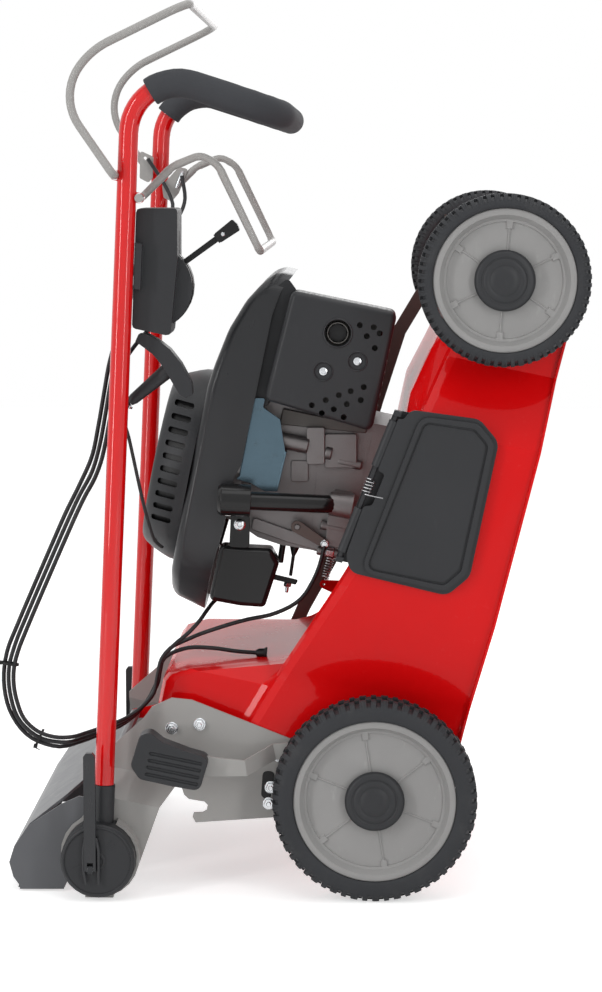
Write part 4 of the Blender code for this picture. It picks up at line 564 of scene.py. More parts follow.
class MowerColours(bpy.types.PropertyGroup):
    red: bpy.props.FloatVectorProperty(name="Red paint", description="Deck and handle tube",
                                       default=(0.70, 0.003, 0.004), size=3, subtype="COLOR")
    grey_paint: bpy.props.FloatVectorProperty(name="Grey paint", description="Brackets, bails and height lever",
                                              default=(0.37, 0.362, 0.35), size=3, subtype="COLOR")
    rim: bpy.props.FloatVectorProperty(name="Rim plastic", description="Wheel rims",
                                       default=(0.30, 0.296, 0.292), size=3, subtype="COLOR")
    charcoal: bpy.props.FloatVectorProperty(name="Charcoal plastic", description="Covers, flaps and knuckles",
                                            default=(0.027, 0.028, 0.0305), size=3, subtype="COLOR")
    black: bpy.props.FloatVectorProperty(name="Black plastic", description="Filter box, filler and throttle",
                                         default=(0.009, 0.009, 0.0095), size=3, subtype="COLOR")
    flap: bpy.props.FloatVectorProperty(name="Rear flap", description="Rear flap plastic",
                                        default=(0.115, 0.118, 0.126), size=3, subtype="COLOR")
    rubber: bpy.props.FloatVectorProperty(name="Tyre rubber", description="Tyres",
                                          default=(0.033, 0.0345, 0.038), size=3, subtype="COLOR")
    foam: bpy.props.FloatVectorProperty(name="Grip foam", description="Foam grip over the crossbar",
                                        default=(0.048, 0.050, 0.055), size=3, subtype="COLOR")
    iron: bpy.props.FloatVectorProperty(name="Link iron", description="Height link and its crank arms",
                                        default=(0.085, 0.062, 0.056), size=3, subtype="COLOR")
    baffle: bpy.props.FloatVectorProperty(name="Heat baffle", description="Blue-grey plated sheet",
                                          default=(0.085, 0.135, 0.17), size=3, subtype="COLOR")


class MowerSizes(bpy.types.PropertyGroup):
    lug_gap: bpy.props.FloatProperty(name="Lug gap", description="Share of a tread pitch that is open",
                                     default=0.42, min=0.1, max=0.8, subtype="FACTOR")
    bolt_across: bpy.props.FloatProperty(name="Bolt size", description="Across the flats of the deck's bolts",
                                         default=0.010, unit="LENGTH")
    tie_width: bpy.props.FloatProperty(name="Tie width", description="Width of a cable tie",
                                       default=0.0026, unit="LENGTH")
    edge: bpy.props.FloatProperty(name="Edge rounding", description="Rounding of the carried-over solids' edges",
                                  default=0.0006, unit="LENGTH")


FINISHES = {}


def finish(name):
    """The named finish, made when it is first asked for."""
    if name in FINISHES:
        return FINISHES[name]
    c = bpy.context.scene.mower_colours
    makers = {
        "red_paint": lambda: paint("red_paint", c.red, 0.26, 0.26),
        "tube_red": lambda: paint("tube_red", c.red, 0.24, 0.9),
        "grey_paint": lambda: paint("grey_paint", c.grey_paint, 0.30, 0.26),
        "rim_plastic": lambda: moulded("rim_plastic", c.rim, 0.42, 0.0005, 0.00005),
        "charcoal": lambda: moulded("charcoal", c.charcoal, 0.44),
        "charcoal_satin": lambda: moulded("charcoal_satin", c.charcoal, 0.32, 0.0004, 0.00005, 0.12),
        "black_gloss": lambda: moulded("black_gloss", c.black, 0.20, 0.0008, 0.00002, 0.16, 0.22),
        "black_plastic": lambda: moulded("black_plastic", c.black, 0.40),
        "flap_plastic": lambda: moulded("flap_plastic", c.flap, 0.36, 0.0005, 0.00008),
        "tyre_rubber": lambda: rubber("tyre_rubber", c.rubber, 0.66),
        "cable_sheath": lambda: rubber("cable_sheath", (0.022, 0.022, 0.024), 0.42),
        "grip_foam": lambda: foam_rubber("grip_foam", c.foam),
        "rope": lambda: braided("rope", (0.030, 0.030, 0.031), 0.8),
        "cast_alloy": lambda: metal("cast_alloy", (0.175, 0.165, 0.165), 0.42, 0.80, None, 1100.0),
        "link_iron": lambda: metal("link_iron", c.iron, 0.42, 0.45, (1.0, 1.0, 0.12)),
        "muffler_iron": lambda: metal("muffler_iron", (0.10, 0.095, 0.09), 0.6, 0.7),
        "zinc": lambda: metal("zinc", (0.62, 0.64, 0.66), 0.24, 1.0, (1.0, 0.2, 1.0)),
        "shaft_steel": lambda: metal("shaft_steel", (0.42, 0.42, 0.43), 0.34, 1.0, (1.0, 0.1, 1.0)),
        "baffle_sheet": lambda: metal("baffle_sheet", c.baffle, 0.22, 0.80, (0.4, 1.0, 1.0)),
        "guard_enamel": lambda: moulded("guard_enamel", c.charcoal, 0.40, 0.0006, 0.00006),
    }
    FINISHES[name] = makers[name]()
    return FINISHES[name]


# ---------------------------------------------------------------- studio
def plain_node(tree, kind, values=None):
    made = tree.nodes.new(kind)
    for key, value in (values or {}).items():
        made.inputs[key].default_value = value
    return made


def white_to_the_eye(tree, surface, strength):
    """What the camera and mirrors see is lifted towards white; the light on the object stays as it is."""
    seen = tree.nodes.new("ShaderNodeLightPath")
    glow = plain_node(tree, "ShaderNodeEmission", {"Color": (1, 1, 1, 1), "Strength": strength})
    none = plain_node(tree, "ShaderNodeEmission", {"Strength": 0.0})
    either = tree.nodes.new("ShaderNodeMath")
    either.operation = "MAXIMUM"
    third = tree.nodes.new("ShaderNodeMath")
    third.operation = "MAXIMUM"
    tree.links.new(seen.outputs["Is Camera Ray"], either.inputs[0])
    tree.links.new(seen.outputs["Is Glossy Ray"], either.inputs[1])
    tree.links.new(either.outputs[0], third.inputs[0])
    tree.links.new(seen.outputs["Is Transmission Ray"], third.inputs[1])
    choose = tree.nodes.new("ShaderNodeMixShader")
    both = tree.nodes.new("ShaderNodeAddShader")
    tree.links.new(third.outputs[0], choose.inputs[0])
    tree.links.new(none.outputs[0], choose.inputs[1])
    tree.links.new(glow.outputs[0], choose.inputs[2])
    tree.links.new(surface.outputs[0], both.inputs[0])
    tree.links.new(choose.outputs[0], both.inputs[1])
    return both


# Name, place, aim, width, height and power of each soft box
LAMPS = (("left_strip", (-1.9, -1.7, 1.1), (0, 0, 0.5), 0.24, 2.0, 20),
         ("right_strip", (1.5, -2.2, 1.2), (0, 0, 0.5), 0.24, 2.0, 14),
         ("top_box", (0.2, -0.3, 2.6), (0, 0, 0.4), 2.2, 2.2, 20),
         ("back_box", (0.6, 2.2, 1.5), (0, 0, 0.5), 1.6, 1.6, 10))


def soft_box(name, place, aim, width, height, power):
    data = bpy.data.lights.new(name, "AREA")
    data.shape, data.size, data.size_y, data.energy = "RECTANGLE", width, height, power
    lamp = bpy.data.objects.new(name, data)
    lamp.location = place
    lamp.rotation_euler = (Vector(aim) - Vector(place)).to_track_quat("-Z", "Y").to_euler()
    bpy.context.scene.collection.objects.link(lamp)


class MOWER_OT_studio(bpy.types.Operator):
    """Set up the camera, the pale floor and the soft boxes"""
    bl_idname = "mower.studio"
    bl_label = "Studio and camera"

    def execute(self, context):
        s = context.scene.mower_studio
        turn, tilt = s.camera_turn, s.camera_tilt
        ahead = Vector((-math.sin(turn) * math.cos(tilt), math.cos(turn) * math.cos(tilt), -math.sin(tilt)))
        right = Vector((math.cos(turn), math.sin(turn), 0))
        up = right.cross(ahead)
        data = bpy.data.cameras.new("camera")
        data.lens, data.sensor_width, data.sensor_fit = s.lens, 36.0, "AUTO"
        data.clip_start, data.clip_end = 0.05, 50
        camera = bpy.data.objects.new("camera", data)
        camera.matrix_world = Matrix(((right.x, up.x, -ahead.x, s.camera_place[0]),
                                      (right.y, up.y, -ahead.y, s.camera_place[1]),
                                      (right.z, up.z, -ahead.z, s.camera_place[2]), (0, 0, 0, 1)))
        context.scene.collection.objects.link(camera)
        context.scene.camera = camera
        context.scene.view_settings.view_transform = "Standard"

        world = bpy.data.worlds.new("room")
        world.use_nodes = True
        context.scene.world = world
        tree = world.node_tree
        room = tree.nodes["Background"]
        room.inputs["Color"].default_value = (1, 1, 1, 1)
        room.inputs["Strength"].default_value = s.room
        lifted = white_to_the_eye(tree, room, max(0.0, 1.0 - s.room))
        tree.links.new(lifted.outputs[0], tree.nodes["World Output"].inputs["Surface"])

        floor_mat = bpy.data.materials.new("studio_floor")
        floor_mat.use_nodes = True
        tree = floor_mat.node_tree
        shader = tree.nodes["Principled BSDF"]
        shader.inputs["Base Color"].default_value = (0.82, 0.82, 0.82, 1)
        shader.inputs["Roughness"].default_value = 0.55
        shader.inputs["Specular IOR Level"].default_value = 0.2
        lifted = white_to_the_eye(tree, shader, 0.55)
        tree.links.new(lifted.outputs[0], tree.nodes["Material Output"].inputs["Surface"])
        mesh = bpy.data.meshes.new("studio_floor")
        mesh.from_pydata([(-6, -5, 0), (6, -5, 0), (6, 6, 0), (-6, 6, 0)], [], [(0, 1, 2, 3)])
        mesh.materials.append(floor_mat)
        floor = bpy.data.objects.new("studio_floor", mesh)
        context.scene.collection.objects.link(floor)

        for name, place, aim, width, height, power in LAMPS:
            soft_box(name, place, aim, width, height, power * s.lamps)
        return {"FINISHED"}


# ---------------------------------------------------------------- cords
BUNDLE = [(0.4050, 0.4990), (0.3620, 0.4975), (0.3008, 0.4985), (0.2516, 0.5117), (0.1543, 0.5330),
          (0.0871, 0.5466), (0.0595, 0.5494), (0.0290, 0.5435), (-0.0026, 0.5258), (-0.0172, 0.4998),
          (-0.0165, 0.4700)]
CABLE_R, SPREAD, BUNDLE_Y = 0.0024, 0.0059, -0.2035
TIED_AT = (6, 9)
ROUTE_POINTS, ROUTE_FINE = 42, 170


def strand(start, shift, dy, tail):
    """One cable of the bundle: shift moves it across the loop, dy along the mower's width."""
    points = [Vector(p) for p in start]
    line = [Vector(p) for p in BUNDLE]
    for i, p in enumerate(line):
        t = (line[min(i + 1, len(line) - 1)] - line[max(i - 1, 0)]).normalized()
        q = p - Vector((-t.y, t.x)) * shift
        points.append(Vector((q.x, BUNDLE_Y + dy, q.y)))
    return points + [Vector(p) for p in tail]


FAR_START = [(0.5900, 0.1750, 0.4950), (0.5300, 0.0800, 0.5150), (0.4700, -0.0700, 0.5150), (0.4380, -0.1650, 0.5060)]
ROUTES = {
    "throttle_cable": strand([(0.4580, -0.1700, 0.4720), (0.4350, -0.1760, 0.4840)], -SPREAD, 0.0,
                             [(-0.0030, -0.1760, 0.4440), (0.0140, -0.1400, 0.4080), (0.0430, -0.1200, 0.3860),
                              (0.0840, -0.1150, 0.3850), (0.1250, -0.1020, 0.3560), (0.1560, -0.0600, 0.3380),
                              (0.1816, -0.0500, 0.3105)]),
    "brake_cable": strand([(0.6420, 0.1960, 0.5390)] + FAR_START, SPREAD, 0.0055,
                          [(-0.0150, -0.1650, 0.4480), (0.0020, -0.1240, 0.4120), (0.0400, -0.0950, 0.3870),
                           (0.0880, -0.0880, 0.3820), (0.1350, -0.1000, 0.3200), (0.1750, -0.1080, 0.2480),
                           (0.2350, -0.1050, 0.2250), (0.2500, -0.1020, 0.2262)]),
    "drive_cable": strand([(0.6300, 0.1890, 0.4925), (0.5900, 0.1690, 0.4820), (0.5300, 0.0780, 0.5065),
                           (0.4700, -0.0720, 0.5065), (0.4380, -0.1600, 0.4990)], 0.0, 0.0015,
                          [(-0.0100, -0.1700, 0.4460), (0.0080, -0.1320, 0.4100), (0.0430, -0.1080, 0.3860),
                           (0.0850, -0.1040, 0.3820), (0.1030, -0.1030, 0.3480), (0.1070, -0.1030, 0.3080),
                           (0.1122, -0.1030, 0.2700)]),
}


def tie_band(spot, along, out_of_loop):
    """A flat band round the three cables, with its lock and its cut tail."""
    t, n = along.normalized(), out_of_loop.normalized()
    y = Vector((0, 1, 0))
    width = bpy.context.scene.mower_sizes.tie_width
    rings = []
    for k in range(28):
        a = 2 * math.pi * k / 28
        out = n * (0.0098 * math.cos(a)) + y * (0.0056 * math.sin(a) + 0.0024)
        wall = (n * math.cos(a) + y * math.sin(a)).normalized() * 0.0009
        rings.append([spot + out - t * width / 2, spot + out + t * width / 2, spot + out + wall + t * width / 2,
                      spot + out + wall - t * width / 2])
    band = loft(rings, closed=True)
    head_at = spot + n * 0.0105
    head = turned([(0.0026, -0.0024), (0.0030, -0.0018), (0.0030, 0.0018), (0.0026, 0.0024)], head_at, y, 4)
    end = tube([head_at, head_at + (n + t * 0.3) * 0.002, head_at + (n * 0.3 + t) * 0.006], 0.0006, 6)
    return merge(band, head, end)


class MOWER_OT_cables(bpy.types.Operator):
    """Lay the three control cables and tie them"""
    bl_idname = "mower.cables"
    bl_label = "Control cables"

    def execute(self, context):
        for name, route in ROUTES.items():
            path, length = smooth_path(route, ROUTE_POINTS)
            fine, _ = smooth_path(path, ROUTE_FINE)
            obj = piece(name.replace("_", "-"), tube(fine, CABLE_R, 12), finish("cable_sheath"), None,
                        [name])
            world_path = [STAND @ p for p in path]
            blend_cord(obj)
        ties = []
        line = [Vector(p) for p in BUNDLE]
        for k in TIED_AT:
            along = (line[k + 1] - line[k - 1]).normalized()
            ties.append(tie_band(at(BUNDLE[k], BUNDLE_Y), Vector((along.x, 0, along.y)),
                                 Vector((along.y, 0, -along.x))))
        grommet = turned([(0.0072, 0), (0.0074, 0.0020), (0.0058, 0.0034), (0.0050, 0.0100), (0.0032, 0.0130)],
                         (0.1126, -0.1030, 0.2665), (-0.13, 0, 1), 28)
        piece("cable_grommet", grommet, finish("black_plastic"), "chassis")
        tie = piece("cable_ties", merge(*ties), finish("black_plastic"), None)
        blend_cord(tie)
        return {"FINISHED"}


def blend_cord(obj):
    """Bake the cord's place into its mesh; it rides on no body."""
    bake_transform(obj)


PULL = Vector((0.782, 0.0, -0.622)).normalized()
NOZZLE = Vector((0.3781, -0.200, 0.4736))
GUIDE = NOZZLE - PULL * 0.0028
ROPE_R, ROPE_POINTS, ROPE_FINE = 0.0020, 28, 100
ROPE_ROUTE = [NOZZLE + PULL * 0.016, NOZZLE + PULL * 0.004, tuple(GUIDE), (0.3560, -0.1960, 0.4755),
              (0.3325, -0.1800, 0.4665), (0.2680, -0.1500, 0.4420), (0.2350, -0.1180, 0.4300),
              (0.2145, -0.0920, 0.4215), (0.2065, -0.0790, 0.4120)]


class MOWER_OT_starter(bpy.types.Operator):
    """Make the starter rope, its grip and its guide ring"""
    bl_idname = "mower.starter"
    bl_label = "Starter rope and grip"

    def execute(self, context):
        path, length = smooth_path(ROPE_ROUTE, ROPE_POINTS)
        fine, _ = smooth_path(path, ROPE_FINE)
        rope = piece("pull_rope", tube(fine, ROPE_R, 12), finish("rope"), None, ["starter_rope"])
        world_path = [tuple(STAND @ p) for p in path]
        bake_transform(rope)
        for node, look in (("starter_grip", "charcoal"), ("rope_guide", "zinc")):
            dress(node, finish(look), 0.0022 if node == "starter_grip" else 0.0002)
        return {"FINISHED"}


# ---------------------------------------------------------------- handle
def handle_line():
    corners = [at(TUBE_FOOT, -TUBE_Y), at(TUBE_BEND, -TUBE_Y), at(CROSSBAR, -TUBE_Y), at(CROSSBAR, TUBE_Y),
               at(TUBE_BEND, TUBE_Y), at(TUBE_FOOT, TUBE_Y)]
    return bend(corners, [0.055, 0.060, 0.060, 0.055], 14)


def tube_z(x):
    """Height of the handle tube's centre line above a point along the mower."""
    return TUBE_FOOT[1] + (x - TUBE_FOOT[0]) * (TUBE_BEND[1] - TUBE_FOOT[1]) / (TUBE_BEND[0] - TUBE_FOOT[0])


class MOWER_OT_handle(bpy.types.Operator):
    """Make the bent tube, its bail ears, the foam grip, the knuckles and the lock levers"""
    bl_idname = "mower.handle"
    bl_label = "Handle"

    def execute(self, context):
        line = handle_line()
        long_run = [line[0].lerp(line[1], k / 40) for k in range(40)]
        far_run = [line[-2].lerp(line[-1], k / 40) for k in range(1, 41)]
        path = long_run + line[1:-1] + far_run
        pressed = []
        for p in path:
            near = math.exp(-((p.x - 0.613) / 0.016) ** 2)
            pressed.append(1.0 - 0.20 * near if p.z > 0.49 else 1.0)
        shapes = [tube(path, TUBE_R, 32, (0, 1, 0), squash=pressed)]
        for s in SIDES.values():
            for pivot in (UPPER_PIVOT, LOWER_PIVOT):
                mid = tube_z(pivot[0])
                ear = hull_of(circle(*pivot, 0.0057, 28) + circle(pivot[0], mid, 0.0057, 20))
                shapes.append(mirrored(plate(ear, 0.2270, 0.2330, [circle(*pivot, 0.0054, 20)]), s))
        piece("bent_tube", merge(*shapes), finish("tube_red"), "handle", ["handle_tube"], 0.0007, 40)

        grip = line[8:-5]
        section = [GRIP_R] * len(grip)
        for i in range(len(grip)):
            section[i] += 0.00018 * math.sin(i * 1.7)
        outer = frames(grip, (0, 1, 0))
        loops = [round_ring(outer[0], r, 40) for r in (TUBE_R + 0.0003, GRIP_R - 0.0010)]
        loops += [round_ring(f, r, 40) for f, r in zip(shift_ends(outer, 0.0011), section)]
        loops += [round_ring(outer[-1], GRIP_R - 0.0010, 40), round_ring(outer[-1], TUBE_R + 0.0003, 40)]
        loops += [round_ring(f, TUBE_R + 0.0003, 40) for f in outer[-2:0:-1]]
        piece("soft_grip", loft(loops, closed=True), finish("grip_foam"), "handle", ["foam_grip"], 0, 50)

        for side, s in SIDES.items():
            dress(f"knuckle_{side}", finish("charcoal"), 0.0011)
            dress(f"lock_lever_{side}", finish("charcoal_satin"), 0.0013)
            ring = revolve([(r, s * (KNUCKLE_FACE + t)) for r, t in (
                (KNUCKLE_R - 0.0052, -0.0004), (KNUCKLE_R - 0.0019, -0.0004), (KNUCKLE_R - 0.0021, 0.0011),
                (KNUCKLE_R - 0.0028, 0.0016), (KNUCKLE_R - 0.0040, 0.0016), (KNUCKLE_R - 0.0049, 0.0009))], KNUCKLE, 88)
            boss = revolve([(r, s * (KNUCKLE_FACE + t)) for r, t in (
                (0.0001, -0.0009), (0.0098, -0.0009), (0.0098, 0.0003), (0.0090, 0.0009), (0.0062, 0.0009),
                (0.0055, 0.0002), (0.0001, 0.0002))], KNUCKLE, 56)
            marks = []
            for a in (-34, -22, 118, 130, 142):
                u = Vector((math.cos(math.radians(a)), math.sin(math.radians(a))))
                v = Vector((-u.y, u.x))
                c = Vector(KNUCKLE) + u * 0.0235
                bar = [tuple(c + u * i + v * j) for i, j in ((-0.0055, -0.0009), (0.0055, -0.0009), (0.0055, 0.0009),
                                                             (-0.0055, 0.0009))]
                marks.append(mirrored(plate(bar, KNUCKLE_FACE - 0.0005, KNUCKLE_FACE + 0.0004), s))
            piece(f"knuckle_rim_{side}", merge(ring, boss, *marks), finish("charcoal"), "handle")
            prongs = [tube([at(q, s * FORK_Y) for q in line], 0.0020, 12, section=[0.0026, 0.0022, 0.0020, 0.0015])
                      for line in LOCK_FORK]
            piece(f"lock_fork_{side}", merge(*prongs), finish("charcoal_satin"), f"{side}_lock")
            eye = at(LOCK_PIN, s * 0.2605)
            bar = turned([(0.0022, -0.0052), (0.0026, -0.0048), (0.0026, 0.0048), (0.0022, 0.0052)], eye, STAND_X, 20)
            nut = turned([(0.0030, -0.0006), (0.0036, 0.0002), (0.0036, 0.0022), (0.0028, 0.0030)],
                         at(LOCK_PIN, s * 0.2612), (0, s, 0), 6)
            piece(f"lock_pin_{side}", merge(bar, nut), finish("zinc"), f"{side}_lock", edge=0.0002)
        return {"FINISHED"}


def hull_of(points):
    points = sorted(set((round(a, 7), round(b, 7)) for a, b in points))

    def half(seq):
        out = []
        for p in seq:
            while len(out) > 1 and ((out[-1][0] - out[-2][0]) * (p[1] - out[-2][1])
                                    - (out[-1][1] - out[-2][1]) * (p[0] - out[-2][0])) <= 1e-12:
                out.pop()
            out.append(p)
        return out[:-1]
    return half(points) + half(points[::-1])


def round_ring(frame_at, radius, sides):
    p, u, v = frame_at
    return [p + u * (radius * math.cos(2 * math.pi * j / sides)) + v * (radius * math.sin(2 * math.pi * j / sides))
            for j in range(sides)]


def shift_ends(line, distance):
    """The same frames, with the first and last drawn in a little for a rounded end."""
    out = list(line)
    for i, j in ((0, 1), (-1, -2)):
        step = (line[j][0] - line[i][0]).normalized() * distance
        out[i] = (line[i][0] + step, line[i][1], line[i][2])
    return out


def sleeve(start, end, inner, outer, sides=28):
    """A straight tube with its bore."""
    (p, u, v), (q, _, _) = frames([Vector(start), Vector(end)], (0, 1, 0.1))
    return loft([round_ring((c, u, v), r, sides) for c, r in ((p, outer), (q, outer), (q, inner), (p, inner))],
                closed=True)


UPPER_LINE = [(0.6944, 0.6105), (0.7496, 0.5851), (0.8205, 0.4920)]
LOWER_LINE = [(0.6440, 0.4780), (0.6630, 0.4500), (0.6560, 0.4290), (0.5723, 0.3649)]


class MOWER_OT_bails(bpy.types.Operator):
    """Make the two bails with their cable lugs, the cable ferrule and its pin"""
    bl_idname = "mower.bails"
    bl_label = "Bails"

    def execute(self, context):
        jobs = (("upper", UPPER_PIVOT, UPPER_LINE, 0.2515, 0.222, 0.2030, [0.008, 0.055, 0.085, 0.030]),
                ("lower", LOWER_PIVOT, LOWER_LINE, 0.2000, 0.2385, 0.2385, [0.008, 0.026, 0.018, 0.026, 0.016]))
        lugs = {"upper": ([(0.6502, 0.5510), (0.6163, 0.5450), (0.6130, 0.5330), (0.6200, 0.5290), (0.6459, 0.5330)],
                          0.2015, (0.6420, 0.5430)),
                "lower": ([(0.6128, 0.5150), (0.5985, 0.5100), (0.5960, 0.4990), (0.6080, 0.4925), (0.6400, 0.4870),
                           (0.6400, 0.4990)], 0.1940, (0.6345, 0.4934))}
        for name, pivot, line, arm_y, pin_right, pin_left, radii in jobs:
            corners = [at(pivot, -pin_right), at(pivot, -arm_y)] + [at(p, -arm_y) for p in line]
            corners += [at(p, arm_y) for p in line[::-1]] + [at(pivot, arm_y), at(pivot, pin_left)]
            path = bend(corners, radii + radii[::-1], 10)
            squash = []
            for i, p in enumerate(path):
                ahead = path[min(i + 1, len(path) - 1)] - p
                behind = p - path[max(i - 1, 0)]
                turning = ahead.length and behind.length and ahead.angle(behind) > 0.03
                squash.append(0.90 if turning and abs(p.y) > arm_y - 0.004 else 1.0)
            bar = tube(path, BAIL_R, 20, (0.3, 0.1, 1.0), squash=squash)
            outline, low, eye = lugs[name]
            lug = plate(fillet(outline, 0.003, 5), low, low + 0.003, [circle(*eye, 0.0021, 16)])
            shapes = [bar, lug]
            if name == "lower":
                shapes.append(turned([(0.0044, 0), (0.0044, 0.006)], Vector((0.6050, 0.1952, 0.5035)), (0, 1, 0), 24))
            piece(f"{name}_bail_bar", merge(*shapes), finish("grey_paint"), f"{name}_bail_body",
                  [f"{name}_bail"], 0.0004, 40)
        ferrule = turned([(0.0016, 0), (0.0024, 0.002), (0.0024, 0.017), (0.0016, 0.020)],
                         Vector((0.6335, 0.1930, 0.4932)), Vector((-0.90, -0.05, 0.16)), 16)
        pin = turned([(0.0019, 0), (0.0019, 0.0062), (0.0030, 0.0063), (0.0030, 0.0072)],
                     Vector((0.6345, 0.1925, 0.4934)), (0, 1, 0), 16)
        piece("bail_ferrule", merge(ferrule, pin), finish("zinc"), "lower_bail_body")
        return {"FINISHED"}


class MOWER_OT_controls(bpy.types.Operator):
    """Finish the control box with its half-disc dome, lip and throttle lever"""
    bl_idname = "mower.controls"
    bl_label = "Control box"

    def execute(self, context):
        dress("control_box", finish("charcoal"), 0.0024)
        dress("throttle_lever", finish("black_plastic"), 0.0009)
        rim = revolve([(DOME_R + 0.0004, -0.1952), (DOME_R + 0.0008, -0.1944), (DOME_R + 0.0008, -0.1916),
                       (DOME_R + 0.0004, -0.1908), (DOME_R - 0.0030, -0.1908), (DOME_R - 0.0030, -0.1952)], DOME, 96)
        points, faces = rim
        keep = [i for i, p in enumerate(points) if p[2] < DOME[1] - 0.016]
        place = {old: new for new, old in enumerate(keep)}
        seam = [points[i] for i in keep], [tuple(place[i] for i in f) for f in faces if all(i in place for i in f)]
        piece("dome_seam", seam, finish("black_gloss"), "handle")
        knob_dir = Vector((math.cos(math.radians(-42.5)), 0, math.sin(math.radians(-42.5))))
        screw_at = at(DOME, -0.1930) + knob_dir * 0.099
        screw = turned([(0.0024, -0.0005), (0.0024, 0.0003), (0.0018, 0.0009)], screw_at, (0, -1, 0), 20)
        piece("throttle_screw", screw, finish("zinc"), "throttle")
        screws = [turned([(0.0034, -0.0006), (0.0034, 0.0006), (0.0026, 0.0016)], (x, -0.1500, z), (0, 1, 0), 20)
                  for x, z in ((0.478, 0.456), (0.478, 0.478), (0.584, 0.472), (0.560, 0.492))]
        piece("box_screws", merge(*screws), finish("zinc"), "handle")
        return {"FINISHED"}


# ---------------------------------------------------------------- wheels
def tread_tyre(end, side):
    hub = REAR_HUB if end == "rear" else FRONT_HUB
    s, radius, half = SIDES[side], WHEEL_R[end], TYRE_W / 2
    bore, base = RIM_R[end] + 0.0003, WHEEL_R[end] - LUG_DEPTH
    profile = [(bore, -half + 0.0025), (bore + 0.0016, -half + 0.0008), (bore + 0.0030, -half + 0.0002),
               (radius - 0.0105, -half), (radius - 0.0070, -half + 0.0016), (base, -half + 0.008),
               (base + 0.0002, 0.0), (base, half - 0.008), (radius - 0.0070, half - 0.0016), (radius - 0.0105, half),
               (bore + 0.0030, half - 0.0002), (bore + 0.0016, half - 0.0008), (bore, half - 0.0025)]
    carcass = revolve([(r, s * (WHEEL_Y + t)) for r, t in profile], hub, 132)
    solid_share = 1 - bpy.context.scene.mower_sizes.lug_gap
    count = LUGS[end]
    pitch = 2 * math.pi / count
    top = radius - 0.0002

    def block(middle, share, corners, notch=0.0):
        """corners: (t, low radius, high radius) across the tread; notch sinks the middle of the block's end."""
        rings = []
        for j, (t, low, high) in enumerate(corners):
            sunk = high - notch if 0 < j < 3 else high
            spans = []
            for off, r in ((-1.0, low), (-0.97, high - 0.0006), (-0.86, high), (-0.50, high), (-0.42, sunk),
                           (0.42, sunk), (0.50, high), (0.86, high), (0.97, high - 0.0006), (1.0, low)):
                a = middle + off * share * pitch / 2
                spans.append((hub[0] + r * math.cos(a), s * (WHEEL_Y + t), hub[1] + r * math.sin(a)))
            rings.append(spans)
        return loft(rings)
    blocks = []
    for k in range(count):
        a = k * pitch
        wide = 1.16 if k % 2 else 0.84
        for sign in (-1, 1):
            edge = [(-half + 0.0001, radius - 0.0128, radius - 0.0098),
                    (-half + 0.0012, radius - 0.0120, radius - 0.0056),
                    (-half + 0.0044, base - 0.0018, radius - 0.0017), (-half + 0.0078, base - 0.0010, top),
                    (-half + 0.0135, base - 0.0010, top)]
            corners = [(t * -sign, low, high) for t, low, high in edge]
            blocks.append(block(a, solid_share * wide, corners, 0.0012 if k % 2 else 0.0))
        for sign, shift in ((-1, 0.52), (1, 0.48)):
            corners = [(sign * 0.0078, base - 0.0010, top - 0.0003), (sign * 0.0010, base - 0.0010, top)]
            blocks.append(block(a + shift * pitch, solid_share * 0.92, corners))
    return merge(carcass, *blocks)


def smooth_step(x, low, high):
    t = min(1.0, max(0.0, (x - low) / (high - low)))
    return t * t * (3 - 2 * t)


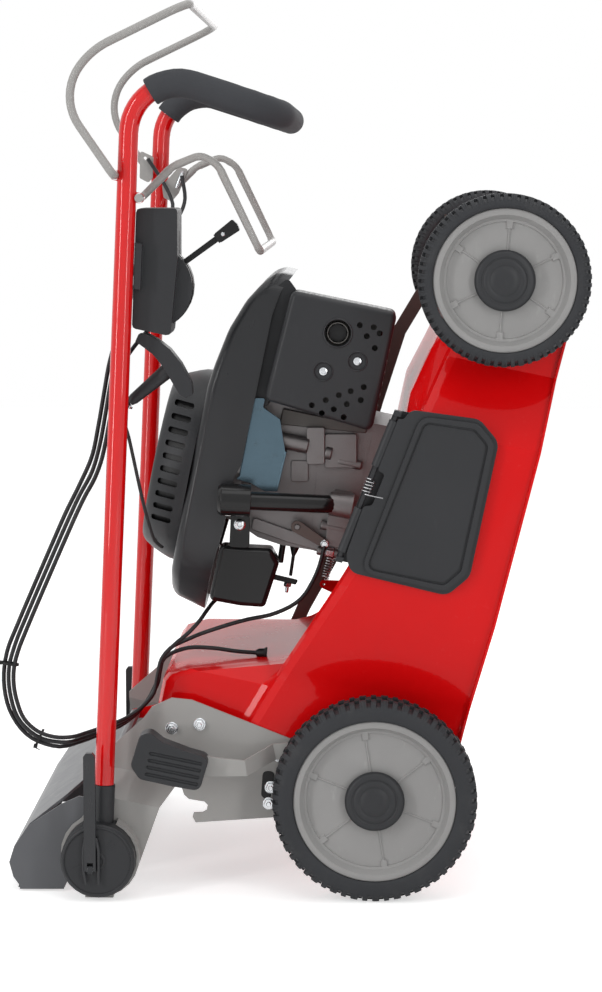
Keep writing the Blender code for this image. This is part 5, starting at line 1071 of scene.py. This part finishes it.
def ribbed_rim(end, side):
    """The rim's outer face as a height over radius and angle; the back is a plain dish."""
    hub = REAR_HUB if end == "rear" else FRONT_HUB
    s, r_out, half = SIDES[side], RIM_R[end], TYRE_W / 2
    lip, panel = half - 0.0032, 0.0088
    depths = [0, 0.0006, 0.0020, 0.0046, 0.0072, 0.0078, 0.0082, 0.0098, 0.0112, 0.0120, 0.0126, 0.0146, 0.0152, 0.0158,
              0.0166, 0.0172, 0.0196, 0.0218, 0.0224, 0.0232]
    stations = [r_out - d for d in depths]
    inner = CAP_R + 0.0006
    stations += [stations[-1] + (inner - stations[-1]) * k / 8 for k in range(1, 9)] + [0.030, 0.0063]

    def height(r, a):
        depth = r_out - r
        flat = table([(0, lip - 0.0014), (0.0006, lip - 0.0004), (0.0020, lip), (0.0072, lip - 0.0001),
                      (0.0078, lip - 0.0008), (0.0098, lip - 0.0046), (0.0112, panel + 0.0044),
                      (0.0120, panel + 0.0026), (0.0146, panel + 0.0022), (0.0152, panel - 0.0012),
                      (0.0158, panel - 0.0012), (0.0166, panel), (0.2, panel)], depth)
        if depth < 0.0125 or r < 0.02:
            return flat
        nearest = min(range(6), key=lambda k: abs(math.sin((a - math.pi / 2 + RIB_PHASE[end] - k * math.pi / 3) / 2)))
        off = a - math.pi / 2 + RIB_PHASE[end] - nearest * math.pi / 3
        off = (off + math.pi) % (2 * math.pi) - math.pi
        across = abs(r * math.sin(off))
        rib = 1 - smooth_step(across, 0.0006, 0.0011)
        foot = (1 - smooth_step(across, 0.0034, 0.0040)) * (1 - smooth_step(depth, 0.0218, 0.0224))
        return max(flat, panel + 0.0016 * rib, panel + 0.0022 * foot)
    rings = []
    steps = 60
    angles = []
    for k in range(6):
        for j in range(steps):
            spread = (j / steps - 0.5)
            angles.append(math.pi / 2 - RIB_PHASE[end] + k * math.pi / 3 + math.copysign(abs(spread * 2) ** 1.9, spread)
                          * math.pi / 6)
    for a in angles:
        ring = []
        for r in stations:
            t = height(r, a) if r > 0.008 else 0.0120
            ring.append((hub[0] + r * math.cos(a), s * (WHEEL_Y + t), hub[1] + r * math.sin(a)))
        for r, t in ((0.0063, -half + 0.0035), (0.016, -half + 0.0035), (0.018, -0.004), (r_out - 0.013, -0.004),
                     (r_out - 0.012, -half + 0.0035), (r_out, -half + 0.0035)):
            ring.append((hub[0] + r * math.cos(a), s * (WHEEL_Y + t), hub[1] + r * math.sin(a)))
        rings.append(ring)
    return loft(rings, closed=True)


class MOWER_OT_wheels(bpy.types.Operator):
    """Make the treaded tyres, the six-ribbed rims and the plain hub caps"""
    bl_idname = "mower.wheels"
    bl_label = "Wheels"

    def execute(self, context):
        for end in ("rear", "front"):
            hub = REAR_HUB if end == "rear" else FRONT_HUB
            for side, s in SIDES.items():
                body = f"{end}_{side}_wheel"
                piece(f"{body}_tread", tread_tyre(end, side), finish("tyre_rubber"), body,
                      [f"{end}_{side}_tyre"], 0, 38)
                piece(f"{body}_face", ribbed_rim(end, side), finish("rim_plastic"), body,
                      [f"{end}_{side}_rim"], 0, 48)
                profile = [(0.0001, 0.0195), (0.0085, 0.0195), (0.0085, 0.0143), (CAP_R, 0.0143), (CAP_R, 0.0172),
                           (CAP_R - 0.0006, 0.0186), (0.0312, 0.0206), (0.0300, 0.0212), (0.0262, 0.0217),
                           (0.0254, 0.0209), (0.0240, 0.0209), (0.0232, 0.0219), (0.0180, 0.0222), (0.0172, 0.0214),
                           (0.0160, 0.0214), (0.0152, 0.0223), (0.0080, 0.0226), (0.0001, 0.0227)]
                cap = revolve([(r, s * (WHEEL_Y + t)) for r, t in profile], hub, 72)
                piece(f"{body}_hub", cap, finish("charcoal"), body,
                      [f"{end}_{side}_cap"], 0, 50)
        return {"FINISHED"}


# ---------------------------------------------------------------- deck and what hangs on it
HINGE, HINGE_RUN = Vector((0.4330, -0.2375, 0.1790)), Vector((-0.1777, 0, 0.0308)).normalized()
FLAP_PANEL = [(0.4251, 0.1774), (0.4251, 0.1719), (0.4375, 0.1650), (0.4425, 0.0897), (0.4219, 0.0639),
              (0.2696, 0.0639), (0.2435, 0.0843), (0.2470, 0.1940), (0.2652, 0.2031), (0.3226, 0.1951),
              (0.3246, 0.1858), (0.3621, 0.1793), (0.3640, 0.1880)]
FLAP_BEAD = [(0.4330, 0.1540), (0.4380, 0.0905), (0.4195, 0.0680), (0.2720, 0.0680), (0.2480, 0.0865),
             (0.2500, 0.1840)]
PAD = [(0.0200, 0.3868), (0.0268, 0.3768), (0.0185, 0.3600), (0.0135, 0.3300), (0.0117, 0.3054), (-0.0275, 0.3089),
       (-0.0285, 0.3400), (-0.0280, 0.3773), (-0.0156, 0.3900)]


class MOWER_OT_deck(bpy.types.Operator):
    """Finish the deck, its brackets, both flaps and their bolts"""
    bl_idname = "mower.deck"
    bl_label = "Deck and flaps"

    def execute(self, context):
        edge = context.scene.mower_sizes.edge
        dress("deck", finish("red_paint"), 0.0035, 24)
        for side in SIDES:
            dress(f"handle_bracket_{side}", finish("grey_paint"), 0.0009, 20)
        dress("rear_flap", finish("flap_plastic"), 0.0010, 24)
        panel = plate(fillet(FLAP_PANEL, 0.018, 8), -0.2435, -0.2405)
        middle = (0.34, 0.12)
        opening = fillet(inset(FLAP_BEAD, 0.0068, middle), 0.011, 8)
        bead = plate(fillet(FLAP_BEAD, 0.016, 8), -0.2475, -0.2430, [opening])
        field = plate(fillet(inset(FLAP_BEAD, 0.0098, middle), 0.009, 8), -0.2446, -0.2430)
        barrels = [sleeve(HINGE + HINGE_RUN * a, HINGE + HINGE_RUN * b, 0.0031, 0.0058) for a, b in
                   ((0.012, 0.066), (0.116, 0.168))]
        piece("moulded_flap", merge(panel, bead, field, *barrels), finish("charcoal"), "side_flap",
              ["discharge_flap"], 0.0009, 30)
        dress("flap_hinge", finish("charcoal"), edge)
        dress("flap_spring", finish("shaft_steel"), 0.0001)
        across = context.scene.mower_sizes.bolt_across
        bolts, bushes = [], []
        for side, s in SIDES.items():
            for x, z in ((0.0229, 0.3551), (0.0340, 0.3249), (0.0165, 0.2285), (-0.0208, 0.2313), (-0.0395, 0.2298)):
                bolts.append(bolt((x, s * 0.1946, z), (0, s, 0), across, 0.0042, 0.0072, 0.0026))
            bush = fillet([(-0.0360, 0.2290), (-0.0340, 0.2400), (-0.0040, 0.2440), (-0.0020, 0.2300)], 0.006, 8)
            bushes.append(mirrored(plate(bush, 0.1943, 0.1952), s))
        piece("bracket_bolts", merge(*bolts), finish("zinc"), "chassis")
        piece("axle_bushes", merge(*bushes), finish("black_plastic"), "chassis", edge=0.0003)
        pins = []
        for x, z in ((0.2820, 0.2006), (0.4070, 0.1740)):
            pins.append(turned([(0.0026, -0.001), (0.0026, 0.0016), (0.0020, 0.0022)], (x, -0.2300, z), (0, -1, 0), 18))
        piece("hinge_studs", merge(*pins), finish("zinc"), "chassis")
        return {"FINISHED"}


class MOWER_OT_height(bpy.types.Operator):
    """Finish the height lever, its pad, the crank axles, the link and its spring"""
    bl_idname = "mower.height"
    bl_label = "Height adjuster"

    def execute(self, context):
        edge = context.scene.mower_sizes.edge
        dress("height_lever", finish("grey_paint"), 0.0007, 20)
        grooves = []
        for k in range(4):
            x = -0.0225 + 0.0080 * k
            grooves.append(plate(fillet([(x, 0.3120), (x + 0.0034, 0.3120), (x + 0.0034, 0.3720), (x, 0.3720)],
                                        0.0016, 5), -0.2600, -0.2536))
        grip = carve(plate(fillet(PAD, 0.010, 8), -0.2560, -0.2290), *grooves)
        piece("grooved_pad", grip, finish("charcoal"), "height_control", ["height_lever_grip"],
              0.0014, 30)
        dress("height_link", finish("link_iron"), edge)
        dress("link_spring", finish("shaft_steel"), 0.0001)
        for node in ("rear_axle", "front_axle"):
            dress(node, finish("shaft_steel"), edge)
        return {"FINISHED"}


# ---------------------------------------------------------------- engine
PLAN = [(0.550, 0.030), (0.550, 0.078), (0.543, 0.097), (0.520, 0.109), (0.470, 0.1135), (0.430, 0.115),
        (0.390, 0.118), (0.350, 0.1185), (0.310, 0.1190), (0.270, 0.1185), (0.235, 0.1160), (0.205, 0.1080),
        (0.180, 0.096), (0.158, 0.078), (0.142, 0.052), (0.136, 0.018)]
SHROUD_TOP = 0.396
TOP_LINE = [(0.136, 0.392), (0.175, SHROUD_TOP), (0.405, SHROUD_TOP), (0.430, 0.393), (0.474, 0.385),
            (0.510, 0.372), (0.530, 0.360), (0.550, 0.346)]
LOW_LINE = [(0.136, 0.350), (0.200, 0.349), (0.248, 0.345), (0.309, 0.345), (0.325, 0.3395), (0.500, 0.3395),
            (0.530, 0.335), (0.550, 0.325)]


def fan_shroud():
    """The cover over the flywheel: a smooth closed plan, a rounded shoulder and a hollow underside."""
    corners = [Vector((x, -y, 0)) for x, y in PLAN] + [Vector((x, y, 0)) for x, y in PLAN[::-1]]
    path, _ = smooth_path(corners + [corners[0]], 161)
    plan = [(p.x, p.y) for p in path[:-1]]
    centre = (0.33, 0.0)
    hole = []
    for x, y in plan:
        a = math.atan2(y, x - CRANK_X)
        hole.append((CRANK_X + 0.096 * math.cos(a), 0.096 * math.sin(a)))

    def level(loop, rule):
        """The rear end leans forward as it rises."""
        heights = [rule(x) for x, _ in loop]
        return [(x + 0.26 * max(0.0, z - 0.350) * min(1.0, max(0.0, (0.22 - x) / 0.06)), y, z)
                for (x, y), z in zip(loop, heights)]

    def top(x):
        return table(TOP_LINE, x)

    def low(x):
        return table(LOW_LINE, x)
    shoulder = [level(inset(plan, 0.011 * (1 - math.cos(a)), centre),
                      lambda x, a=a: top(x) - 0.011 * (1 - math.sin(a)))
                for a in (math.radians(15 * k) for k in range(7))]
    rings = [level(plan, low)] + shoulder
    rings += [level(hole, lambda x: SHROUD_TOP), level(hole, lambda x: SHROUD_TOP - 0.0027),
              level(inset(plan, 0.013, centre), lambda x: top(x) - 0.0027),
              level(inset(plan, 0.0027, centre), lambda x: top(x) - 0.0135), level(inset(plan, 0.0027, centre), low)]
    return loft(rings, closed=True)


class MOWER_OT_shroud(bpy.types.Operator):
    """Make the fan shroud and the slotted starter cover"""
    bl_idname = "mower.shroud"
    bl_label = "Shroud and starter cover"

    def execute(self, context):
        piece("fan_cover", fan_shroud(), finish("charcoal_satin"), "chassis",
              ["blower_shroud"], 0, 30)
        profile = [(0.1160, 0.3963), (0.1150, 0.4045), (0.1120, 0.4130), (0.1068, 0.4250), (0.1010, 0.4345),
                   (0.0970, 0.4385),
                   (0.0930, 0.4405), (0.0001, 0.4405), (0.0001, 0.4378), (0.0915, 0.4378), (0.0945, 0.4368),
                   (0.0985, 0.4325), (0.1042, 0.4232), (0.1094, 0.4120), (0.1133, 0.3963)]
        shell = revolve(profile, (CRANK_X, 0), 128, "z")
        slots = []
        for k in range(10):
            x = 0.3760 - 0.0150 * k
            slot = fillet([(x - 0.0034, 0.4075), (x + 0.0034, 0.4075), (x + 0.0034, 0.4315), (x - 0.0034, 0.4315)],
                          0.003, 3)
            slots += [plate(slot, -0.130, -0.060), plate(slot, 0.060, 0.130)]
        cover = carve(shell, *slots)
        post = turned([(0.008, 0), (0.008, 0.0375)], (CRANK_X, 0, 0.4020), (0, 0, 1), 32)
        screen = revolve([(0.1098, 0.4052), (0.1060, 0.4160), (0.1010, 0.4268), (0.0962, 0.4335), (0.0948, 0.4325),
                          (0.0995, 0.4260), (0.1045, 0.4152), (0.1082, 0.4050)], (CRANK_X, 0), 96, "z")
        piece("cover_screen", screen, finish("black_plastic"), "chassis")
        dome = revolve([(0.0001, 0.4398), (0.030, 0.4398), (0.0305, 0.4404), (0.0290, 0.4418), (0.0001, 0.4424)],
                       (CRANK_X, 0), 64, "z")
        piece("slotted_cover", merge(cover, post, dome), finish("charcoal"), "chassis",
              ["starter_cover"], 0, 35)
        bolts = []
        for a in (90, 214, 326):
            x = CRANK_X + 0.1045 * math.cos(math.radians(a))
            y = 0.1045 * math.sin(math.radians(a))
            bolts.append(bolt((x, y, 0.4215), (math.cos(math.radians(a)), math.sin(math.radians(a)), 0.9),
                              0.007, 0.003, 0.0052))
        skirt = fillet([(0.3950, 0.3240), (0.5340, 0.3180), (0.5450, 0.3300), (0.5300, 0.3440), (0.3950, 0.3470)],
                       0.005)
        piece("shroud_skirt", plate(skirt, -0.1040, -0.1010), finish("charcoal"), "chassis",
              edge=0.0005)
        piece("cover_bolts", merge(*bolts), finish("zinc"), "chassis")
        dress("starter_pulley", finish("black_plastic"))
        return {"FINISHED"}


VENTS = [(0.5111, 0.2391), (0.5121, 0.2231), (0.5066, 0.2150), (0.5005, 0.2288), (0.4891, 0.2171),
         (0.4109, 0.2740), (0.4198, 0.2596), (0.4284, 0.2462), (0.4356, 0.2338), (0.4431, 0.2203),
         (0.4043, 0.2610), (0.4116, 0.2486), (0.4202, 0.2352), (0.4279, 0.2206), (0.4049, 0.2356)]
EXHAUST = (0.4972, 0.2617)
BAFFLE = [(0.4030, 0.3400), (0.4048, 0.3278), (0.3943, 0.3283), (0.3847, 0.3064), (0.3495, 0.2930), (0.3018, 0.2942),
          (0.2992, 0.3074), (0.3050, 0.3249), (0.3062, 0.3430), (0.3112, 0.3390), (0.3722, 0.3400)]
GUARD_BOLTS = [(0.4703, 0.2334), (0.4512, 0.2690)]
GUARD_FRONT, GUARD_BACK, GUARD_WALL = -0.1400, -0.0855, 0.0016
CASE_FACE = -0.0852


def holed_guard():
    """A tray with a rounded front, four walls and its vents cut through."""
    outline = fillet([(0.5343, 0.3226), (0.4054, 0.3287), (0.3947, 0.2008), (0.5343, 0.2000)], 0.010, 8)
    middle = (0.467, 0.263)
    front, back, wall, r = GUARD_FRONT, GUARD_BACK, GUARD_WALL, 0.007
    rings = [[at(p, back) for p in outline]]
    for k in range(7):
        a = math.radians(15 * k)
        rings.append([at(p, front + r * (1 - math.sin(a))) for p in inset(outline, r * (1 - math.cos(a)), middle)])
    inner = [[at(p, front + wall) for p in inset(outline, r, middle)]]
    inner.append([at(p, front + r) for p in inset(outline, wall, middle)])
    inner.append([at(p, back) for p in inset(outline, wall, middle)])
    n = len(outline)
    points = [p for ring in rings + inner for p in ring]
    faces = []
    for j in range(len(rings) - 1):
        faces += [(j * n + i, j * n + (i + 1) % n, (j + 1) * n + (i + 1) % n, (j + 1) * n + i) for i in range(n)]
    face_start = (len(rings) - 1) * n
    faces.append(tuple(range(face_start, face_start + n)))
    base = len(rings) * n
    faces.append(tuple(range(base, base + n))[::-1])
    for j in range(2):
        row = base + j * n
        faces += [(row + i, row + (i + 1) % n, row + n + (i + 1) % n, row + n + i) for i in range(n)]
    last = base + 2 * n
    faces += [(i, (i + 1) % n, last + (i + 1) % n, last + i) for i in range(n)]
    cutters = [turned([(0.0152, 0), (0.0152, 0.02)], at(EXHAUST, front - 0.01), (0, 1, 0), 48)]
    cutters += [turned([(0.0104, 0), (0.0104, 0.02)], at(v, front - 0.01), (0, 1, 0), 40) for v in GUARD_BOLTS]
    cutters += [turned([(0.0034, 0), (0.0034, 0.02)], at(v, front - 0.01), (0, 1, 0), 20) for v in VENTS]
    for k in range(9):
        for j in range(3):
            spot = (0.52, -0.128 + 0.013 * j, 0.212 + 0.0122 * k + 0.006 * (j % 2))
            cutters.append(turned([(0.0024, 0), (0.0024, 0.03)], spot, (1, 0, 0), 12))
    return carve((points, faces), *cutters)


class MOWER_OT_exhaust(bpy.types.Operator):
    """Make the perforated muffler guard with its outlet and dished bolts"""
    bl_idname = "mower.exhaust"
    bl_label = "Muffler guard"

    def execute(self, context):
        piece("holed_guard", holed_guard(), finish("guard_enamel"), "chassis", ["muffler_guard"], 0, 35)
        front = GUARD_FRONT
        dishes, heads = [], []
        for spot in GUARD_BOLTS:
            dishes.append(revolve([(r, front + t) for r, t in (
                (0.0118, 0.0008), (0.0116, -0.0002), (0.0108, -0.0008), (0.0100, -0.0002), (0.0092, 0.0022),
                (0.0040, 0.0030), (0.0040, 0.0042), (0.0098, 0.0036), (0.0106, 0.0020))], spot, 52))
            heads.append(turned([(0.0050, -0.0006), (0.0050, 0.0004), (0.0044, 0.0018), (0.0032, 0.0022),
                                 (0.0028, 0.0008), (0.0004, 0.0010)], at(spot, front + 0.0026), (0, -1, 0), 28))
        ring = revolve([(r, front + t) for r, t in (
            (0.0172, 0.0006), (0.0170, -0.0008), (0.0163, -0.0015), (0.0154, -0.0012), (0.0149, 0.0004),
            (0.0146, 0.0070), (0.0154, 0.0070), (0.0158, 0.0022))], EXHAUST, 72)
        piece("guard_dishes", merge(ring, *dishes), finish("guard_enamel"), "chassis")
        piece("guard_bolts", merge(*heads), finish("zinc"), "chassis")
        bore = turned([(0.0108, 0), (0.0108, 0.0350)], at(EXHAUST, front), (0, 1, 0), 48)
        piece("muffler_body", carve(node_shape("muffler"), bore), finish("muffler_iron"), "chassis",
              ["muffler"], 0.0012, 30)
        # A black disc deep in the outlet bore is painted shade, standing in for the dark inside the bore.
        bore_shade = turned([(0.0106, 0), (0.0106, 0.0030)], at(EXHAUST, -0.1300), (0, 1, 0), 48)
        piece("outlet_soot", bore_shade, finish("black_plastic"), "chassis")
        sheet = plate(fillet(BAFFLE, 0.0025, 4), -0.1085, -0.1073)
        lip = plate([(0.3500, 0.2935), (0.3480, 0.2912), (0.3019, 0.2928), (0.3018, 0.2956)], -0.1094, -0.1073)
        fold = plate([(0.3490, 0.2912), (0.3490, 0.2924), (0.3019, 0.2940), (0.3019, 0.2928)], -0.1080, -0.0858)
        seat = plate([(-0.1080, 0.3388), (-0.0860, 0.3388), (-0.0860, 0.3400), (-0.1080, 0.3400)], 0.3130, 0.3720,
                     axis="x")
        piece("bent_baffle", merge(sheet, lip, fold, seat), finish("baffle_sheet"), "chassis",
              ["heat_baffle"], 0.0004, 30)
        return {"FINISHED"}


# Low cast forms on the near side of the engine: outline and height above the wall; studs: x, from z to z, radius
CASE_FORMS = [([(0.3850, 0.2543), (0.3807, 0.2747), (0.3385, 0.2660), (0.3428, 0.2456)], 0.0120),
              ([(0.3770, 0.2526), (0.3846, 0.2164), (0.3458, 0.2083), (0.3382, 0.2446)], 0.0080),
              ([(0.3420, 0.2650), (0.3380, 0.2850), (0.3140, 0.2800), (0.3180, 0.2600)], 0.0026),
              ([(0.2640, 0.3140), (0.2580, 0.2700), (0.2550, 0.2060), (0.2400, 0.2060), (0.2440, 0.2700),
                (0.2500, 0.3140)], 0.0050),
              ([(0.2860, 0.2040), (0.2860, 0.2300), (0.2500, 0.2260), (0.2500, 0.2040)], 0.0090)]
STUDS = [(0.3597, 0.2683, 0.3030, 0.0098), (0.3490, 0.2031, 0.2314, 0.0052), (0.3560, 0.2400, 0.2480, 0.0078),
         (0.2720, 0.2060, 0.2360, 0.0056), (0.2420, 0.1990, 0.2340, 0.0056)]
UNDERSIDE = [(0.1500, 0.1500), (0.2420, 0.1500), (0.2370, 0.2000), (0.2400, 0.2400), (0.2385, 0.2765),
             (0.2418, 0.3047), (0.2560, 0.3380), (0.2560, 0.3480), (0.1500, 0.3480)]
FILTER_BOX = [(0.2288, 0.3450), (0.2331, 0.3106), (0.2371, 0.2861), (0.2221, 0.2740), (0.1684, 0.2799),
              (0.1644, 0.3084), (0.1635, 0.3450)]


class MOWER_OT_engine(bpy.types.Operator):
    """Finish the castings, the tank, the filler, the filter box and the governor rods"""
    bl_idname = "mower.engine"
    bl_label = "Engine"

    def execute(self, context):
        edge = context.scene.mower_sizes.edge
        block = carve(node_shape("engine_block"), plate(UNDERSIDE, -0.2, 0.2))
        piece("crankcase", block, finish("cast_alloy"), "chassis", ["engine_block"], 0.0009, 30)
        tank = carve(node_shape("fuel_tank"), plate([(0.1500, 0.2000), (0.2450, 0.2000), (0.2450, 0.3400),
                                                     (0.1500, 0.3400)], 0.05, 0.2))
        piece("tank_body", tank, finish("black_plastic"), "chassis", ["fuel_tank"], 0.0028, 30)
        dress("fuel_cap", finish("black_plastic"), 0.0010)
        piece("filter_housing", plate(fillet(FILTER_BOX, 0.007, 6), -0.1250, -0.0858), finish("black_gloss"), "chassis",
              ["air_filter_box"], 0.0060, 50)
        dress("oil_filler_tube", finish("black_gloss"), 0.0006)
        dress("dipstick", finish("black_gloss"), 0.0008)
        dress("brake_arm", finish("link_iron"), edge)
        face = CASE_FACE
        castings = []
        for outline, depth in CASE_FORMS:
            castings.append(plate(fillet(outline, 0.003, 4), face - depth, face + 0.004))
        for x, z_low, z_high, r in STUDS:
            tall = z_high - z_low
            castings.append(turned([(r - 0.0008, 0), (r, 0.0010), (r, tall - 0.0010), (r - 0.0008, tall)],
                                   (x, face - r * 0.7, z_low), (0, 0, 1), 28))
        castings.append(turned([(0.0122, 0), (0.0132, 0.0010), (0.0150, 0.0270), (0.0142, 0.0290)],
                               (0.3035, -0.1250, 0.2325), (0.04, 0, -1), 36))
        castings.append(plate(fillet([(0.2925, 0.2050), (0.3165, 0.2050), (0.3160, 0.2290), (0.2920, 0.2290)], 0.004),
                              -0.1250, face + 0.004))
        piece("case_castings", merge(*castings), finish("cast_alloy"), "chassis", edge=0.0010)
        seams = [plate([(a[0] - 0.0006, a[1]), (a[0] + 0.0006, a[1]), (b[0] + 0.0006, b[1]), (b[0] - 0.0006, b[1])],
                       face - 0.0004, face + 0.002) for a, b in (((0.2860, 0.1990), (0.3840, 0.1990)),
                                                                 ((0.2660, 0.2450), (0.3300, 0.2530)))]
        piece("case_seams", merge(*seams), finish("muffler_iron"), "chassis")
        # A dark iron strip on the block beside the muffler guard is painted shade, standing in for the shadow there.
        shade = plate([(0.3960, 0.3060), (0.3960, 0.2060), (0.3872, 0.2060), (0.3770, 0.3060)],
                      face - 0.0060, face + 0.002)
        piece("cylinder_edge", shade, finish("muffler_iron"), "chassis", edge=0.0012)
        heads = turned([(0.0056, 0), (0.0064, 0.0008), (0.0064, 0.0090), (0.0056, 0.0098)],
                       (0.2430, face - 0.0052, 0.2140), (0, 0, 1), 6)
        piece("case_bolts", heads, finish("zinc"), "chassis", edge=0.0002)
        piece("arm_nut", bolt((0.2520, -0.0990, 0.2270), (0, -1, 0), 0.0070, 0.0034, 0.0048), finish("zinc"), "brake")
        rods = [turned([(0.0070, 0), (0.0070, 0.0090), (0.0036, 0.0200), (0.0020, 0.0240), (0.0020, 0.0480)],
                       (0.2520, -0.0780, 0.2610), (-1, 0, -0.06), 24),
                turned([(0.0036, 0), (0.0036, 0.0260), (0.0030, 0.0270)], (0.2440, -0.0790, 0.2745),
                       (-1, 0, -0.05), 20),
                plate(fillet([(0.2020, 0.2850), (0.1960, 0.2850), (0.1950, 0.2500), (0.2010, 0.2480)], 0.002, 4),
                      -0.0800, -0.0760)]
        piece("governor_rods", merge(*rods), finish("black_plastic"), "chassis", edge=0.0005)
        nut = [turned([(0.0038, 0), (0.0046, 0.0006), (0.0046, 0.0044), (0.0038, 0.0050)], (0.1956, -0.0780, 0.2596),
                      (-1, 0, -0.06), 6),
               turned([(0.0022, 0), (0.0022, 0.0110), (0.0016, 0.0120)], (0.1956, -0.0780, 0.2596), (-1, 0, -0.06), 16)]
        piece("governor_nut", merge(*nut), finish("zinc"), "chassis")
        tab = fillet([(0.2700, 0.3180), (0.2680, 0.3400), (0.2290, 0.3340), (0.2330, 0.3110)], 0.004, 5)
        piece("filter_tab", plate(tab, -0.1240, -0.1220), finish("black_gloss"), "chassis",
              edge=0.0005)
        tab_screw = turned([(0.0068, -0.0004), (0.0068, 0.0006), (0.0058, 0.0018), (0.0030, 0.0026), (0.0024, 0.0014),
                            (0.0004, 0.0012)], (0.2575, -0.1240, 0.3273), (0, -1, 0), 32)
        piece("tab_screw", tab_screw, finish("zinc"), "chassis")
        return {"FINISHED"}


class MOWER_OT_blade(bpy.types.Operator):
    """Finish the blade, its holder, the crankshaft, the gearbox and the belt cover"""
    bl_idname = "mower.blade"
    bl_label = "Blade and drive"

    def execute(self, context):
        for node, look in (("blade", "shaft_steel"), ("blade_holder", "muffler_iron"), ("crankshaft", "shaft_steel"),
                           ("flywheel", "cast_alloy"), ("gearbox", "cast_alloy"), ("drive_cover", "black_plastic")):
            dress(node, finish(look))
        return {"FINISHED"}


class MOWER_PT_panel(bpy.types.Panel):
    """The mower's pieces and settings"""
    bl_label = "Stored Petrol Mower"
    bl_space_type = "VIEW_3D"
    bl_region_type = "UI"
    bl_category = "Mower"

    def draw(self, context):
        for step in STEPS:
            self.layout.operator(step.bl_idname)
        for group in (context.scene.mower_studio, context.scene.mower_colours, context.scene.mower_sizes):
            for key in group.bl_rna.properties.keys():
                if key not in ("rna_type", "name"):
                    self.layout.prop(group, key)


STEPS = (MOWER_OT_studio, MOWER_OT_cables, MOWER_OT_starter, MOWER_OT_handle, MOWER_OT_bails, MOWER_OT_controls,
         MOWER_OT_wheels, MOWER_OT_deck, MOWER_OT_height, MOWER_OT_shroud, MOWER_OT_exhaust, MOWER_OT_engine,
         MOWER_OT_blade)
GROUPS = {"mower_studio": StudioSettings, "mower_colours": MowerColours, "mower_sizes": MowerSizes}


def register():
    for cls in (*GROUPS.values(), *STEPS, MOWER_PT_panel):
        bpy.utils.register_class(cls)
    for name, group in GROUPS.items():
        setattr(bpy.types.Scene, name, bpy.props.PointerProperty(type=group))


def unregister():
    for name in GROUPS:
        delattr(bpy.types.Scene, name)
    for cls in (MOWER_PT_panel, *STEPS[::-1], *GROUPS.values()):
        bpy.utils.unregister_class(cls)


def main():
    register()
    for name in ("studio", "cables", "starter", "handle", "bails", "controls", "wheels", "deck", "height", "shroud",
                 "exhaust", "engine", "blade"):
        getattr(bpy.ops.mower, name)()


if __name__ == "__main__":
    main()
